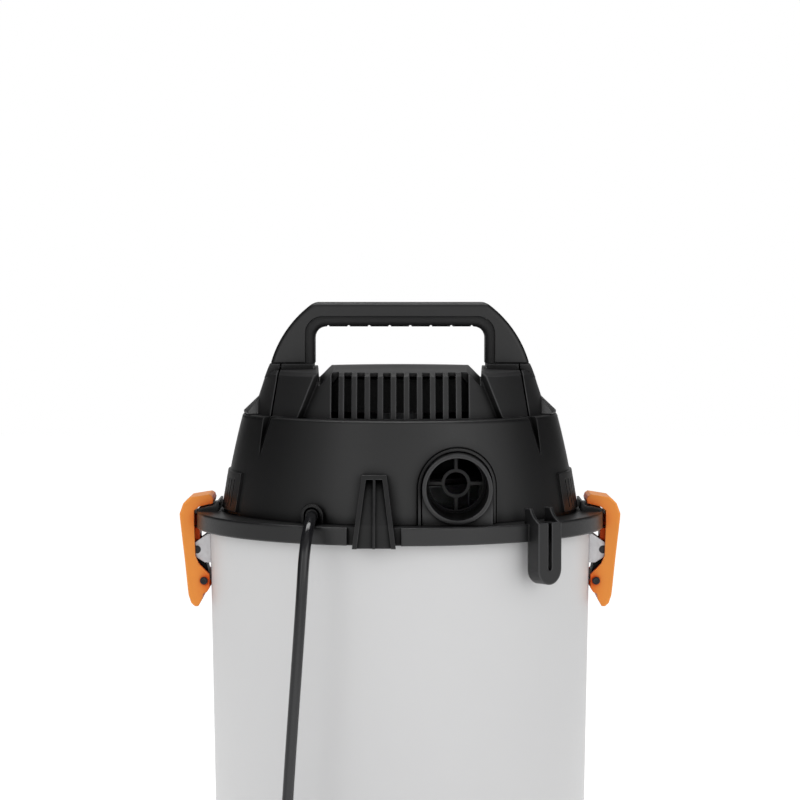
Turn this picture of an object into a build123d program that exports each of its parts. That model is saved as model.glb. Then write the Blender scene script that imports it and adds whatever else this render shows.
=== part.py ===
"""Wet and dry shop vacuum: steel drum on casters, clamped lid with motor head, handle and mains lead.

Millimetres. Z = 0 is the floor and the drum's axis is the Z axis. -Y is the rear, with the lead and the
blower outlet, +Y is the front, with the hose inlet and the switch, and +X is to the right seen from the rear.
"""

import os
from math import atan2, cos, pi, radians, sin, sqrt, tan

from build123d import *

os.makedirs("parts", exist_ok=True)

# Driving dimensions
rim_z = 390.0  # underside of the lid's rim
rim_radius = 152.6
drum_top_radius = 142.5
drum_bottom_radius = 137.0
drum_bottom_z = 62.0
drum_top_z = 396.0
drum_wall = 1.0
wall_top_z = 393.5  # where the wall runs into the rolled bead
lid_top = rim_z + 12.5  # flat top of the lid, which the motor housing stands on
lid_underside = rim_z + 9.5
ledge_z = rim_z + 85.0  # shoulder where the housing meets the top cover
cover_top_z = rim_z + 120.6  # crest of the cover's shallow dome
handle_foot_z = rim_z + 122.2
handle_top_z = rim_z + 167.5
bore_hose = 23.9  # tank inlet, for a 48 mm hose end
bore_blower = 22.0
cord_diameter = 8.0

fit_gap = 0.3  # between neighbouring pieces that stay still
running_gap = 0.05  # radial play of a pin in its hole

standing = (Align.CENTER, Align.CENTER, Align.MIN)


def write(piece, name):
    """Label a finished piece and write it to its own STEP file."""
    piece.label = name
    export_step(piece, f"parts/{name}.step")


def radial_plane(azimuth):
    """Upright plane through the Z axis: local x runs outwards at the azimuth, local y runs up."""
    a = radians(azimuth)
    return Plane(origin=(0, 0, 0), x_dir=(cos(a), sin(a), 0), z_dir=(sin(a), -cos(a), 0))


def tangent_plane(azimuth):
    """Upright plane facing outwards at the azimuth: local x runs along the tangent, local y runs up."""
    a = radians(azimuth)
    return Plane(origin=(0, 0, 0), x_dir=(-sin(a), cos(a), 0), z_dir=(cos(a), sin(a), 0))


rear_plane = Plane.XZ  # faces -Y, local x is +X and local y is +Z
front_plane = Plane(origin=(0, 0, 0), x_dir=(-1, 0, 0), z_dir=(0, 1, 0))

# Steel drum with a rolled top bead
bead_radius = drum_top_z - wall_top_z
bead_centre_radius = 143.7
floor_z = 66.0  # underside of the floor, above the wall's foot
seam_gap = 0.05
inlet_z = 332.0
inlet_hole = 27.5
inlet_screw_circle = 35.0
inlet_screw_hole = 2.0
inlet_screw_angle = 45.0


def drum_cone(offset, mode):
    """The drum's outside as a solid cone frustum, grown by offset all round."""
    with Locations((0, 0, drum_bottom_z)):
        Cone(
            drum_bottom_radius + offset,
            drum_top_radius + offset,
            wall_top_z - drum_bottom_z,
            align=standing,
            mode=mode,
        )


def inlet_circle(radius):
    """A circle on the inlet's axis, in a sketch on the front plane."""
    with Locations((0, inlet_z)):
        Circle(radius)


def inlet_screw_circles(radius, mode=Mode.ADD):
    """Circles at the inlet's four screws, in a sketch on the front plane."""
    with Locations((0, inlet_z)):
        with PolarLocations(inlet_screw_circle, 4, inlet_screw_angle):
            Circle(radius, mode=mode)


with BuildPart() as tank_drum:
    with BuildSketch(Plane.XZ):
        Polygon(
            (drum_bottom_radius, drum_bottom_z),
            (drum_top_radius, wall_top_z),
            (drum_top_radius - drum_wall, wall_top_z),
            (drum_bottom_radius - drum_wall, drum_bottom_z),
            align=None,
        )
    revolve(axis=Axis.Z)
    with BuildSketch(Plane.XZ):
        with Locations((bead_centre_radius, wall_top_z)):
            Circle(bead_radius)
    revolve(axis=Axis.Z)
    with BuildSketch(front_plane.offset(100)):
        inlet_circle(inlet_hole)
        inlet_screw_circles(inlet_screw_hole)
    extrude(amount=60, mode=Mode.SUBTRACT)
write(tank_drum.part, "tank_drum")

with BuildPart() as tank_floor:
    floor_radius = drum_bottom_radius - drum_wall - seam_gap
    with Locations((0, 0, drum_bottom_z)):
        Cylinder(floor_radius, floor_z + drum_wall - drum_bottom_z, align=standing)
        Cylinder(floor_radius - drum_wall, floor_z - drum_bottom_z, align=standing, mode=Mode.SUBTRACT)
    fillet(tank_floor.edges().group_by(Axis.Z)[-1], drum_wall * 0.8)
write(tank_floor.part, "tank_floor")

# Hose inlet on the front of the drum
gasket_thickness = 1.5
inlet_flange_radius = 42.0
inlet_flange_thickness = 4.0
inlet_tube_radius = 28.5
inlet_lip_radius = 31.0
inlet_lip_length = 4.0
inlet_mouth_y = 157.0
inlet_bore_start_y = 126.0
inlet_groove_radius = 25.2  # behind the mouth, for the lugs of the hose end
inlet_groove_end_y = 143.6
inlet_seat_y = 143.6  # the screw heads sit on this plane
screw_head_radius = 4.0

with BuildPart() as tank_inlet:
    with BuildSketch(front_plane):
        inlet_circle(inlet_flange_radius)
    extrude(amount=200)
    drum_cone(gasket_thickness + inlet_flange_thickness, Mode.INTERSECT)
    with BuildSketch(front_plane):
        inlet_circle(inlet_tube_radius)
    extrude(amount=inlet_mouth_y)
    with BuildSketch(front_plane.offset(inlet_mouth_y - inlet_lip_length)):
        inlet_circle(inlet_lip_radius)
    extrude(amount=inlet_lip_length)
    drum_cone(gasket_thickness, Mode.SUBTRACT)
    with BuildSketch(front_plane.offset(inlet_bore_start_y)):
        inlet_circle(inlet_hole - fit_gap)
    extrude(amount=20)
    with BuildSketch(front_plane.offset(inlet_bore_start_y)):
        inlet_circle(bore_hose)
    extrude(amount=40, mode=Mode.SUBTRACT)
    with BuildSketch(front_plane.offset(inlet_bore_start_y)):
        inlet_circle(inlet_groove_radius)
    extrude(amount=inlet_groove_end_y - inlet_bore_start_y, mode=Mode.SUBTRACT)
    with BuildSketch(front_plane.offset(inlet_seat_y)):
        inlet_screw_circles(screw_head_radius + 0.6)
    extrude(amount=12, mode=Mode.SUBTRACT)
    with BuildSketch(front_plane.offset(100)):
        inlet_screw_circles(inlet_screw_hole)
    extrude(amount=60, mode=Mode.SUBTRACT)
    chamfer(tank_inlet.faces().sort_by(Axis.Y)[-1].edges(), 0.8)
write(tank_inlet.part, "tank_inlet")

with BuildPart() as inlet_gasket:
    with BuildSketch(front_plane):
        inlet_circle(inlet_flange_radius)
        with Locations((0, inlet_z)):
            Circle(inlet_hole, mode=Mode.SUBTRACT)
        inlet_screw_circles(inlet_screw_hole, Mode.SUBTRACT)
    extrude(amount=200)
    drum_cone(gasket_thickness, Mode.INTERSECT)
    drum_cone(0, Mode.SUBTRACT)
write(inlet_gasket.part, "inlet_gasket")

# Elbow inside the drum, which throws the dust sideways
deflector_flange = 3.0
deflector_tube_radius = 31.0
deflector_wall = 2.5
deflector_end_y = 104.0

with BuildPart() as deflector_seat:
    with BuildSketch(front_plane):
        inlet_circle(inlet_flange_radius)
    extrude(amount=200)
    drum_cone(-drum_wall - fit_gap, Mode.INTERSECT)
    drum_cone(-drum_wall - fit_gap - deflector_flange, Mode.SUBTRACT)
    with BuildSketch(front_plane.offset(100)):
        inlet_circle(deflector_tube_radius - deflector_wall)
        inlet_screw_circles(inlet_screw_hole)
    extrude(amount=60, mode=Mode.SUBTRACT)

with BuildPart() as inlet_deflector:
    with BuildSketch(front_plane.offset(deflector_end_y)):
        inlet_circle(deflector_tube_radius)
    extrude(amount=50)
    with BuildSketch(front_plane.offset(deflector_end_y + deflector_wall)):
        inlet_circle(deflector_tube_radius - deflector_wall)
    extrude(amount=60, mode=Mode.SUBTRACT)
    with Locations((30, deflector_end_y + deflector_wall + 11, inlet_z)):
        Box(40, 22, 44, mode=Mode.SUBTRACT)
    drum_cone(-drum_wall - fit_gap, Mode.INTERSECT)
    add(deflector_seat.part)
write(inlet_deflector.part, "inlet_deflector")

with BuildPart() as inlet_screws:
    with BuildSketch(front_plane.offset(inlet_seat_y)):
        inlet_screw_circles(screw_head_radius)
    extrude(amount=2.4)
    chamfer(inlet_screws.faces().sort_by(Axis.Y)[-4:].edges(), 0.8)
    with BuildSketch(front_plane.offset(inlet_seat_y + 1.2)):
        with Locations((0, inlet_z)):
            with PolarLocations(inlet_screw_circle, 4, inlet_screw_angle):
                Rectangle(4.6, 1.1)
                Rectangle(1.1, 4.6)
    extrude(amount=4, mode=Mode.SUBTRACT)
    with BuildSketch(front_plane.offset(124)):
        inlet_screw_circles(inlet_screw_hole - 0.1)
    extrude(amount=inlet_seat_y - 124)
write(inlet_screws.part, "inlet_screws")

# Caster base: a flanged ring round the drum's foot, with a socket lobe over each caster
tray_bottom_z = 58.0
tray_rim_z = 88.0
tray_wall = 3.5
tray_opening = 119.0  # the drum's foot rests on the flange outside this radius
caster_circle = 150.0
lobe_radius = 15.0
lobe_bottom_z = 54.0
lobe_top_z = 84.0
stem_radius = 4.5
stem_top_z = 78.0
caster_azimuths = {"front_right": 45, "front_left": 135, "rear_left": 225, "rear_right": 315}

with BuildPart() as tray_lobe:
    with BuildSketch(Plane.XY.offset(lobe_bottom_z)):
        with Locations((caster_circle, 0)):
            Circle(lobe_radius)
        with Locations((caster_circle - 24, 0)):
            Rectangle(10, 2 * lobe_radius + 22)
        make_hull()
    extrude(amount=lobe_top_z - lobe_bottom_z)
    chamfer(tray_lobe.faces().sort_by(Axis.Z)[-1].edges(), 1.5)

with BuildPart() as base_tray:
    with Locations((0, 0, tray_bottom_z)):
        Cylinder(drum_bottom_radius + tray_wall + 1.0, tray_rim_z - tray_bottom_z, align=standing)
    chamfer(base_tray.faces().sort_by(Axis.Z)[-1].edges(), 1.2)
    with PolarLocations(0, 4, 45):
        add(tray_lobe.part)
    drum_cone(0.4, Mode.SUBTRACT)
    with Locations((0, 0, lobe_bottom_z - 1)):
        Cylinder(caster_circle - 29, tray_bottom_z - lobe_bottom_z + 1, align=standing, mode=Mode.SUBTRACT)
        Cylinder(tray_opening, 20, align=standing, mode=Mode.SUBTRACT)
    with PolarLocations(caster_circle, 4, 45):
        with Locations((0, 0, lobe_bottom_z - 1)):
            Cylinder(stem_radius + running_gap, stem_top_z - lobe_bottom_z + 2, align=standing, mode=Mode.SUBTRACT)
write(base_tray.part, "base_tray")

# Swivel casters, each drawn at the origin with its wheel trailing along +X
wheel_radius = 23.0
wheel_width = 18.0
caster_trail = 15.0
axle_radius = 3.0
fork_gap = 1.0  # between the wheel and each leg
fork_leg = 3.0
crown_z = 48.0
crown_height = 4.5
fork_half = wheel_width / 2 + fork_gap

with BuildPart() as caster_fork:
    with BuildSketch(Plane.XZ.offset(-fork_half - fork_leg)):
        with Locations((caster_trail, wheel_radius)):
            Circle(6.5)
        with Locations((4, crown_z + 1)):
            Rectangle(25, 2)
        make_hull()
    extrude(amount=2 * (fork_half + fork_leg))
    with Locations((4, 0, 0)):
        Box(80, 2 * fork_half, 2 * crown_z, mode=Mode.SUBTRACT)
    with BuildSketch(Plane.XY.offset(crown_z)):
        with Locations((4, 0)):
            RectangleRounded(25, 2 * (fork_half + fork_leg), 8)
    extrude(amount=crown_height)
    with Locations((0, 0, crown_z)):
        Cylinder(9.5, crown_height + 1.0, align=standing)
        Cylinder(stem_radius, stem_top_z - crown_z, align=standing)
    with Locations(Location((caster_trail, 0, wheel_radius), (90, 0, 0))):
        Cylinder(axle_radius + 0.02, 60, mode=Mode.SUBTRACT)
    chamfer(caster_fork.edges().sort_by(Axis.Z)[-1], 1.0)

with BuildPart() as caster_wheel:
    with BuildSketch(Plane.XZ.offset(-wheel_width / 2)):
        with Locations((caster_trail, wheel_radius)):
            Circle(wheel_radius)
    extrude(amount=wheel_width)
    fillet(caster_wheel.edges().filter_by(GeomType.CIRCLE), 3.0)
    for side in (-1, 1):
        with BuildSketch(Plane.XZ.offset(side * wheel_width / 2)):
            with Locations((caster_trail, wheel_radius)):
                Circle(wheel_radius - 6)
                Circle(7, mode=Mode.SUBTRACT)
        extrude(amount=-side * 3.5, mode=Mode.SUBTRACT)
    with Locations(Location((caster_trail, 0, wheel_radius), (90, 0, 0))):
        Cylinder(axle_radius + running_gap + 0.01, 60, mode=Mode.SUBTRACT)

with BuildPart() as caster_axle:
    with Locations(Location((caster_trail, 0, wheel_radius), (90, 0, 0))):
        Cylinder(axle_radius, 2 * (fork_half + fork_leg))
    for side in (-1, 1):
        with BuildSketch(Plane.XZ.offset(side * (fork_half + fork_leg))):
            with Locations((caster_trail, wheel_radius)):
                Circle(4.6)
        extrude(amount=side * 1.6)
    chamfer(caster_axle.faces().sort_by(Axis.Y)[0].edges(), 0.7)
    chamfer(caster_axle.faces().sort_by(Axis.Y)[-1].edges(), 0.7)

for place, azimuth in caster_azimuths.items():
    a = radians(azimuth)
    at_lobe = Location((caster_circle * cos(a), caster_circle * sin(a), 0), (0, 0, azimuth))
    write(caster_fork.part.moved(at_lobe), f"caster_fork_{place}")
    write(caster_wheel.part.moved(at_lobe), f"caster_wheel_{place}")
    write(caster_axle.part.moved(at_lobe), f"caster_axle_{place}")

# Draw latches: a steel bracket on the drum, a link on the bracket's pin, a hooked lever on the link's pin.
# The right one is drawn, and the left one is its mirror image.
bracket_pin_x, bracket_pin_z = 152.0, rim_z - 17.2
lever_pin_x, lever_pin_z = 146.4, rim_z - 40.0
latch_pin_radius = 2.0
bracket_ear = 1.5
bracket_half = 13.0
lever_half = 18.0
lever_wall = 4.0
lever_cheek = lever_half - lever_wall  # inner face of the lever's side walls
lever_rib_x = 149.9
lever_rib_half = 10.0
link_half = bracket_half - bracket_ear - 0.5
hook_under_z = rim_z + 17.2
rivet_heights = (rim_z - 12.0, rim_z - 22.5)


def latch_sketch_plane(y):
    """Plane across the latch at y, facing the rear, with local x = X and local y = Z."""
    return Plane.XZ.offset(-y)


with BuildPart() as bracket_plate:
    with Locations((142, 0, rim_z - 16.25)):
        Box(20, 2 * bracket_half, 21.5)
    drum_cone(1.6, Mode.INTERSECT)

with BuildPart() as latch_bracket:
    with BuildSketch(latch_sketch_plane(bracket_half)):
        with BuildLine():
            Polyline(
                (136, rim_z - 5.5),
                (144, rim_z - 5.5),
                (bracket_pin_x + 1, bracket_pin_z + 5.5),
                (bracket_pin_x + 4.0, bracket_pin_z + 2),
                (bracket_pin_x + 4.0, bracket_pin_z - 2),
                (bracket_pin_x + 1, bracket_pin_z - 5.5),
                (146, rim_z - 27.0),
                (136, rim_z - 27.0),
                close=True,
            )
        make_face()
    extrude(amount=2 * bracket_half)
    with Locations((150, 0, rim_z - 16)):
        Box(60, 2 * (bracket_half - bracket_ear), 60, mode=Mode.SUBTRACT)
    add(bracket_plate.part)
    drum_cone(0.02, Mode.SUBTRACT)
    with Locations(Location((bracket_pin_x, 0, bracket_pin_z), (90, 0, 0))):
        Cylinder(latch_pin_radius + 0.02, 60, mode=Mode.SUBTRACT)
    for height in rivet_heights:
        with Locations(Location((144, 0, height), (0, 90, 0))):
            Cylinder(2.1, 20, mode=Mode.SUBTRACT)

with BuildPart() as latch_bracket_pin:
    with Locations(Location((bracket_pin_x, 0, bracket_pin_z), (90, 0, 0))):
        Cylinder(latch_pin_radius, 2 * bracket_half)
    for side in (-1, 1):
        with BuildSketch(Plane.XZ.offset(side * bracket_half)):
            with Locations((bracket_pin_x, bracket_pin_z)):
                Circle(3.0)
        extrude(amount=side * 0.6)

with BuildPart() as latch_link:
    with BuildSketch(latch_sketch_plane(link_half)):
        with Locations((bracket_pin_x, bracket_pin_z)):
            Circle(4.4)
        with Locations((lever_pin_x, lever_pin_z)):
            Circle(4.0)
        make_hull()
        with Locations((bracket_pin_x, bracket_pin_z)):
            Circle(latch_pin_radius + running_gap, mode=Mode.SUBTRACT)
        with Locations((lever_pin_x, lever_pin_z)):
            Circle(latch_pin_radius + 0.02, mode=Mode.SUBTRACT)
    extrude(amount=2 * link_half)

with BuildPart() as latch_lever_pin:
    with Locations(Location((lever_pin_x, 0, lever_pin_z), (90, 0, 0))):
        Cylinder(latch_pin_radius, 2 * lever_half + 0.6)
    for side in (-1, 1):
        with BuildSketch(Plane.XZ.offset(side * (lever_half + 0.3))):
            with Locations((lever_pin_x, lever_pin_z)):
                Circle(2.9)
        extrude(amount=side * 1.0)

with BuildPart() as latch_lever:
    with BuildSketch(latch_sketch_plane(lever_half)):
        with BuildLine():
            Polyline(
                (142.6, hook_under_z),
                (139.8, hook_under_z + 0.5),
                (139.2, rim_z + 20.4),
                (140.2, rim_z + 23.2),
                (142.4, rim_z + 24.6),
                (156.6, rim_z + 22.3),
                (161.8, rim_z + 17.6),
                (164.5, rim_z + 10.0),
                (164.2, rim_z + 6.0),
                (163.2, rim_z - 3.0),
                (160.8, rim_z - 24.0),
                (158.8, rim_z - 44.0),
                (158.0, rim_z - 51.0),
                (156.0, rim_z - 57.0),
                (153.4, rim_z - 59.4),
                (150.6, rim_z - 59.2),
                (147.6, rim_z - 53.4),
                (147.0, rim_z - 50.0),
                (144.2, rim_z - 48.6),
                (142.3, rim_z - 45.6),
                (142.3, rim_z - 35.4),
                (150.2, rim_z - 27.4),
                (152.8, rim_z - 21.4),
                (153.6, rim_z + 2.0),
                (153.6, rim_z + 12.6),
                (149.6, rim_z + 15.4),
                close=True,
            )
        make_face()
    extrude(amount=2 * lever_half)
    # channel between the side walls, open towards the drum
    with BuildSketch(latch_sketch_plane(lever_cheek)):
        with BuildLine():
            Polyline(
                (130, rim_z + 9.2),
                (159.6, rim_z + 9.2),
                (158.8, rim_z - 2.0),
                (156.4, rim_z - 24.0),
                (154.4, rim_z - 44.0),
                (151.8, rim_z - 51.0),
                (130, rim_z - 51.0),
                close=True,
            )
        make_face()
    extrude(amount=2 * lever_cheek, mode=Mode.SUBTRACT)
    # stiffening rib across the channel, under the lid's rim
    with Locations((lever_rib_x, 0, rim_z - 1.2)):
        Box(9.0, 2 * lever_rib_half, 9.0, align=(Align.MIN, Align.CENTER, Align.MAX))
    with Locations(Location((lever_pin_x, 0, lever_pin_z), (90, 0, 0))):
        Cylinder(latch_pin_radius + running_gap, 60, mode=Mode.SUBTRACT)
    outline_edges = latch_lever.faces().sort_by(Axis.Y)[0].edges() + latch_lever.faces().sort_by(Axis.Y)[-1].edges()
    chamfer(outline_edges.filter_by(GeomType.LINE).filter_by_position(Axis.X, 153.7, 165), 0.9)

with BuildPart() as latch_rivets_right:
    for height in rivet_heights:
        with Locations(Location((142.0, 0, height), (0, 90, 0))):
            Cylinder(2.0, 5.0)
        with Locations(Location((144.6, 0, height), (0, 90, 0))):
            Cylinder(3.4, 1.0)
    drum_cone(0.02, Mode.SUBTRACT)

for builder, name in (
    (latch_bracket, "latch_bracket"),
    (latch_link, "latch_link"),
    (latch_lever, "latch_lever"),
    (latch_lever_pin, "latch_lever_pin"),
):
    write(builder.part, f"{name}_right")
    write(mirror(builder.part, about=Plane.YZ, mode=Mode.PRIVATE), f"{name}_left")

with BuildPart() as latch_bracket_pins:
    add(latch_bracket_pin.part)
    mirror(about=Plane.YZ)
write(latch_bracket_pins.part, "latch_bracket_pins")

with BuildPart() as latch_rivets:
    add(latch_rivets_right.part)
    mirror(about=Plane.YZ)
write(latch_rivets.part, "latch_rivets")

# Lid base: rim, catches, blower outlet block and the park bracket for the suction tube
lid_opening = 20.0
rim_edge = 1.2
port_x, port_z = 40.4, rim_z + 38.2
port_radius = 24.8
port_front = 136.0  # distance of the mouth behind the axis
port_block_front = 133.0
port_inner_end = 75.8
port_shoulder = 84.0
port_step = 1.2  # the bore narrows by this much in front of the guard
dock_x = -18.2
dock_notch_half = 19.0
dock_notch_depth = 149.4
catch_half = 24.0
park_azimuth = -49.2
park_half = 11.0
park_front = 162.5
park_back = 151.0
park_wall = 2.6
park_slot = 3.6
park_wing_back = 147.6
park_wing_top = rim_z + 23.4
housing_screw_circle = 112.0
housing_screw_angles = (10, 75, 105, 170, 200, 340)


def port_arch(radius, foot_z):
    """Arch outline round the blower outlet, with straight sides down to foot_z."""
    with Locations((port_x, port_z)):
        Circle(radius)
    with Locations((port_x, (port_z + foot_z) / 2)):
        Rectangle(2 * radius, port_z - foot_z)


with BuildPart() as rim_notch:
    with Locations((dock_x, -140, rim_z + 5)):
        Box(2 * dock_notch_half, 40, 30)
    Cylinder(dock_notch_depth, 1000, mode=Mode.SUBTRACT)

with BuildPart() as notch_ends:
    for side in (-1, 1):
        with Locations((dock_x + side * (dock_notch_half + 1.2), -140, rim_z + 5)):
            Box(2.4, 40, 10)
    Cylinder(rim_radius - 0.2, 1000, mode=Mode.INTERSECT)
    Cylinder(dock_notch_depth, 1000, mode=Mode.SUBTRACT)

with BuildPart() as notch_wall:
    with Locations((dock_x, -140, rim_z + 5)):
        Box(2 * dock_notch_half + 4.8, 40, 10)
    Cylinder(dock_notch_depth, 1000, mode=Mode.INTERSECT)
    Cylinder(dock_notch_depth - 2.2, 1000, mode=Mode.SUBTRACT)

with BuildPart() as lid_base:
    with BuildSketch(Plane.XZ):
        with BuildLine():
            Polyline(
                (rim_radius, rim_z),
                (rim_radius, lid_top),
                (lid_opening, lid_top),
                (lid_opening, lid_underside),
                (135.5, lid_underside),
                (135.5, rim_z - 6),
                (138.0, rim_z - 6),
                (138.0, lid_underside),
                (rim_radius - 2.8, lid_underside),
                (rim_radius - 2.8, rim_z),
                close=True,
            )
        make_face()
    revolve(axis=Axis.Z)
    fillet(lid_base.edges().group_by(Axis.Z)[-1].sort_by(SortBy.RADIUS)[-1], rim_edge)
    # catches under the latch hooks
    for side in (-1, 1):
        with BuildSketch(Plane.XZ.offset(-catch_half)):
            with BuildLine():
                Polyline(
                    (side * 134.6, lid_top - 1),
                    (side * 150.2, lid_top - 1),
                    (side * 150.2, rim_z + 14.2),
                    (side * 142.4, rim_z + 16.1),
                    (side * 138.4, rim_z + 16.6),
                    (side * 136.2, rim_z + 19.8),
                    (side * 134.6, rim_z + 19.8),
                    close=True,
                )
            make_face()
        extrude(amount=2 * catch_half)
    # notch in the rim where the dock hangs down, with its ends turned in
    add(rim_notch.part, mode=Mode.SUBTRACT)
    add(notch_ends.part)
    add(notch_wall.part)
    # blower outlet
    with BuildSketch(rear_plane.offset(port_inner_end)):
        port_arch(port_radius, lid_top - 1)
    extrude(amount=port_block_front - port_inner_end)
    with BuildSketch(rear_plane.offset(port_block_front)):
        with Locations((port_x, port_z)):
            Circle(port_radius)
    extrude(amount=port_front - port_block_front)
    with BuildSketch(rear_plane.offset(port_shoulder)):
        with Locations((port_x, port_z)):
            Circle(bore_blower)
    extrude(amount=60, mode=Mode.SUBTRACT)
    with BuildSketch(rear_plane.offset(port_inner_end)):
        with Locations((port_x, port_z)):
            Circle(bore_blower - port_step)
    extrude(amount=30, mode=Mode.SUBTRACT)
    # park bracket
    with BuildSketch(tangent_plane(park_azimuth).offset(park_back)):
        with Locations((0, rim_z - 3)):
            Rectangle(2 * park_half, 33)
        with Locations((0, rim_z - 19.5)):
            Circle(park_half)
    extrude(amount=park_front - park_back)
    with BuildSketch(tangent_plane(park_azimuth).offset(park_back - 1)):
        with Locations((0, rim_z - 10)):
            Rectangle(2 * (park_half - park_wall), 19)
        with Locations((0, rim_z - 19.5)):
            Circle(park_half - park_wall)
    extrude(amount=park_front - park_back - 3.4, mode=Mode.SUBTRACT)
    for side in (-1, 1):
        web = radial_plane(park_azimuth)
        web.origin = web.z_dir * (side * (park_half - park_wall / 2) - park_wall / 2)
        with BuildSketch(web):
            with BuildLine():
                Polyline((park_wing_back, lid_top - 1), (park_wing_back, park_wing_top), (153.4, park_wing_top))
                ThreePointArc((153.4, park_wing_top), (157.4, rim_z + 17.0), (park_front, rim_z + 13.2))
                Polyline(
                    (park_front, rim_z + 13.2),
                    (park_front, rim_z + 4),
                    (rim_radius - 1, rim_z + 4),
                    (rim_radius - 1, lid_top - 1),
                    (park_wing_back, lid_top - 1),
                )
            make_face()
        extrude(amount=park_wall)
    with BuildSketch(tangent_plane(park_azimuth).offset(rim_radius + 0.5)):
        with Locations((0, rim_z - 0.25)):
            Rectangle(park_slot, 37)
        with Locations((0, rim_z - 18.75)):
            Circle(park_slot / 2)
    extrude(amount=30, mode=Mode.SUBTRACT)
    # clearance for the screws that hold the motor housing
    for angle in housing_screw_angles:
        a = radians(angle)
        with Locations((housing_screw_circle * cos(a), housing_screw_circle * sin(a), rim_z)):
            Cylinder(2.1, 30, align=standing, mode=Mode.SUBTRACT)
write(lid_base.part, "lid_base")

with BuildPart() as lid_seal:
    with BuildSketch(Plane.XZ):
        with Locations(((140.4 + 147.0) / 2, (drum_top_z + lid_underside) / 2)):
            RectangleRounded(6.6, lid_underside - drum_top_z, 1.2)
    revolve(axis=Axis.Z)
write(lid_seal.part, "lid_seal")

# Motor housing: a shallow cone with the outlet frame, cord hood, hose dock, side vents and darts
housing_foot = 132.2
housing_waist = 126.2
housing_shoulder = 118.2
housing_wall = 3.0
ledge_inner = 92.0
lip_radius = 27.6
lip_inner = 25.8
lip_height = 3.4
lip_groove = 0.9  # fine line round the outlet frame
hood_x, hood_z = -62.5, rim_z + 18.4
hood_radius = 7.9
hood_inner = 5.9
hood_height = 4.2
vent_panel_half = 25.5  # degrees either side of +X and -X
vent_slit_step = 3.4  # degrees
vent_slit_width = 2.0
vent_panel_height = 1.8
dart_azimuths = (-145, -35, 35, 145)
dart_floor = 111.6  # distance of a dart's floor from the axis, at the shoulder
dart_slope = atan2(12.8, 27.0)
dart_half = 6.8
dart_length = 31.0
dart_wall = 3.0
switch_z = rim_z + 50.0
switch_tilt = 11.5
switch_plane = Plane(
    origin=(0, housing_waist - 0.6, switch_z),
    x_dir=(-1, 0, 0),
    z_dir=(0, cos(radians(switch_tilt)), sin(radians(switch_tilt))),
)
bezel_width, bezel_height = 36.0, 28.0
switch_body_width, switch_body_height = 30.0, 22.0


def housing_outline(offset):
    """The housing's outside as a closed half outline about the axis, grown by offset."""
    with BuildSketch() as outline:
        with BuildLine():
            ThreePointArc(
                (housing_foot + offset, lid_top),
                (housing_waist + offset, rim_z + 48),
                (housing_shoulder + offset, ledge_z - 2.5),
            )
            ThreePointArc(
                (housing_shoulder + offset, ledge_z - 2.5),
                (housing_shoulder - 0.9 + offset, ledge_z - 0.7),
                (housing_shoulder - 2.9 + offset, ledge_z),
            )
            Polyline(
                (housing_shoulder - 2.9 + offset, ledge_z),
                (0, ledge_z),
                (0, lid_top),
                (housing_foot + offset, lid_top),
            )
        make_face()
    return outline.sketch


def hood_arch(radius):
    """Arch outline round the cord's exit, with straight sides down to the lid."""
    with Locations((hood_x, hood_z)):
        Circle(radius)
    with Locations((hood_x, (hood_z + lid_top - 1) / 2)):
        Rectangle(2 * radius, hood_z - lid_top + 1)


with BuildPart() as outlet_frame:
    with BuildSketch(rear_plane.offset(96)):
        port_arch(lip_radius, lid_top)
    extrude(amount=60)
    with BuildSketch(Plane.XZ):
        add(housing_outline(lip_height))
    revolve(axis=Axis.Z, mode=Mode.INTERSECT)

with BuildPart() as frame_groove:
    with BuildSketch(rear_plane.offset(96)):
        port_arch(lip_radius + lip_groove, lid_top)
    extrude(amount=60)
    with BuildSketch(rear_plane.offset(96)):
        port_arch(lip_radius, lid_top)
    extrude(amount=60, mode=Mode.SUBTRACT)
    with BuildSketch(Plane.XZ):
        add(housing_outline(-lip_groove))
    revolve(axis=Axis.Z, mode=Mode.SUBTRACT)

with BuildPart() as cord_hood:
    with BuildSketch(rear_plane.offset(94)):
        hood_arch(hood_radius)
    extrude(amount=60)
    with BuildSketch(Plane.XZ):
        add(housing_outline(hood_height))
    revolve(axis=Axis.Z, mode=Mode.INTERSECT)

# hose dock: a tapering channel with side rails and a middle rib, standing out more towards its open foot
dock_top_z = rim_z + 47.8
dock_foot_z = rim_z - 1.2
dock_top_half, dock_foot_half = 8.75, 15.25
dock_top_y, dock_bend_y, dock_foot_y = -129.5, -153.2, -160.5
dock_floor_top, dock_floor_bend, dock_floor_foot = -125.3, -150.9, -157.2
dock_floor_wall = 3.2
dock_hollow_half = 7.0
dock_rail = 3.0
dock_rib = 1.7
dock_drop = dock_top_z - dock_foot_z

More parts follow.
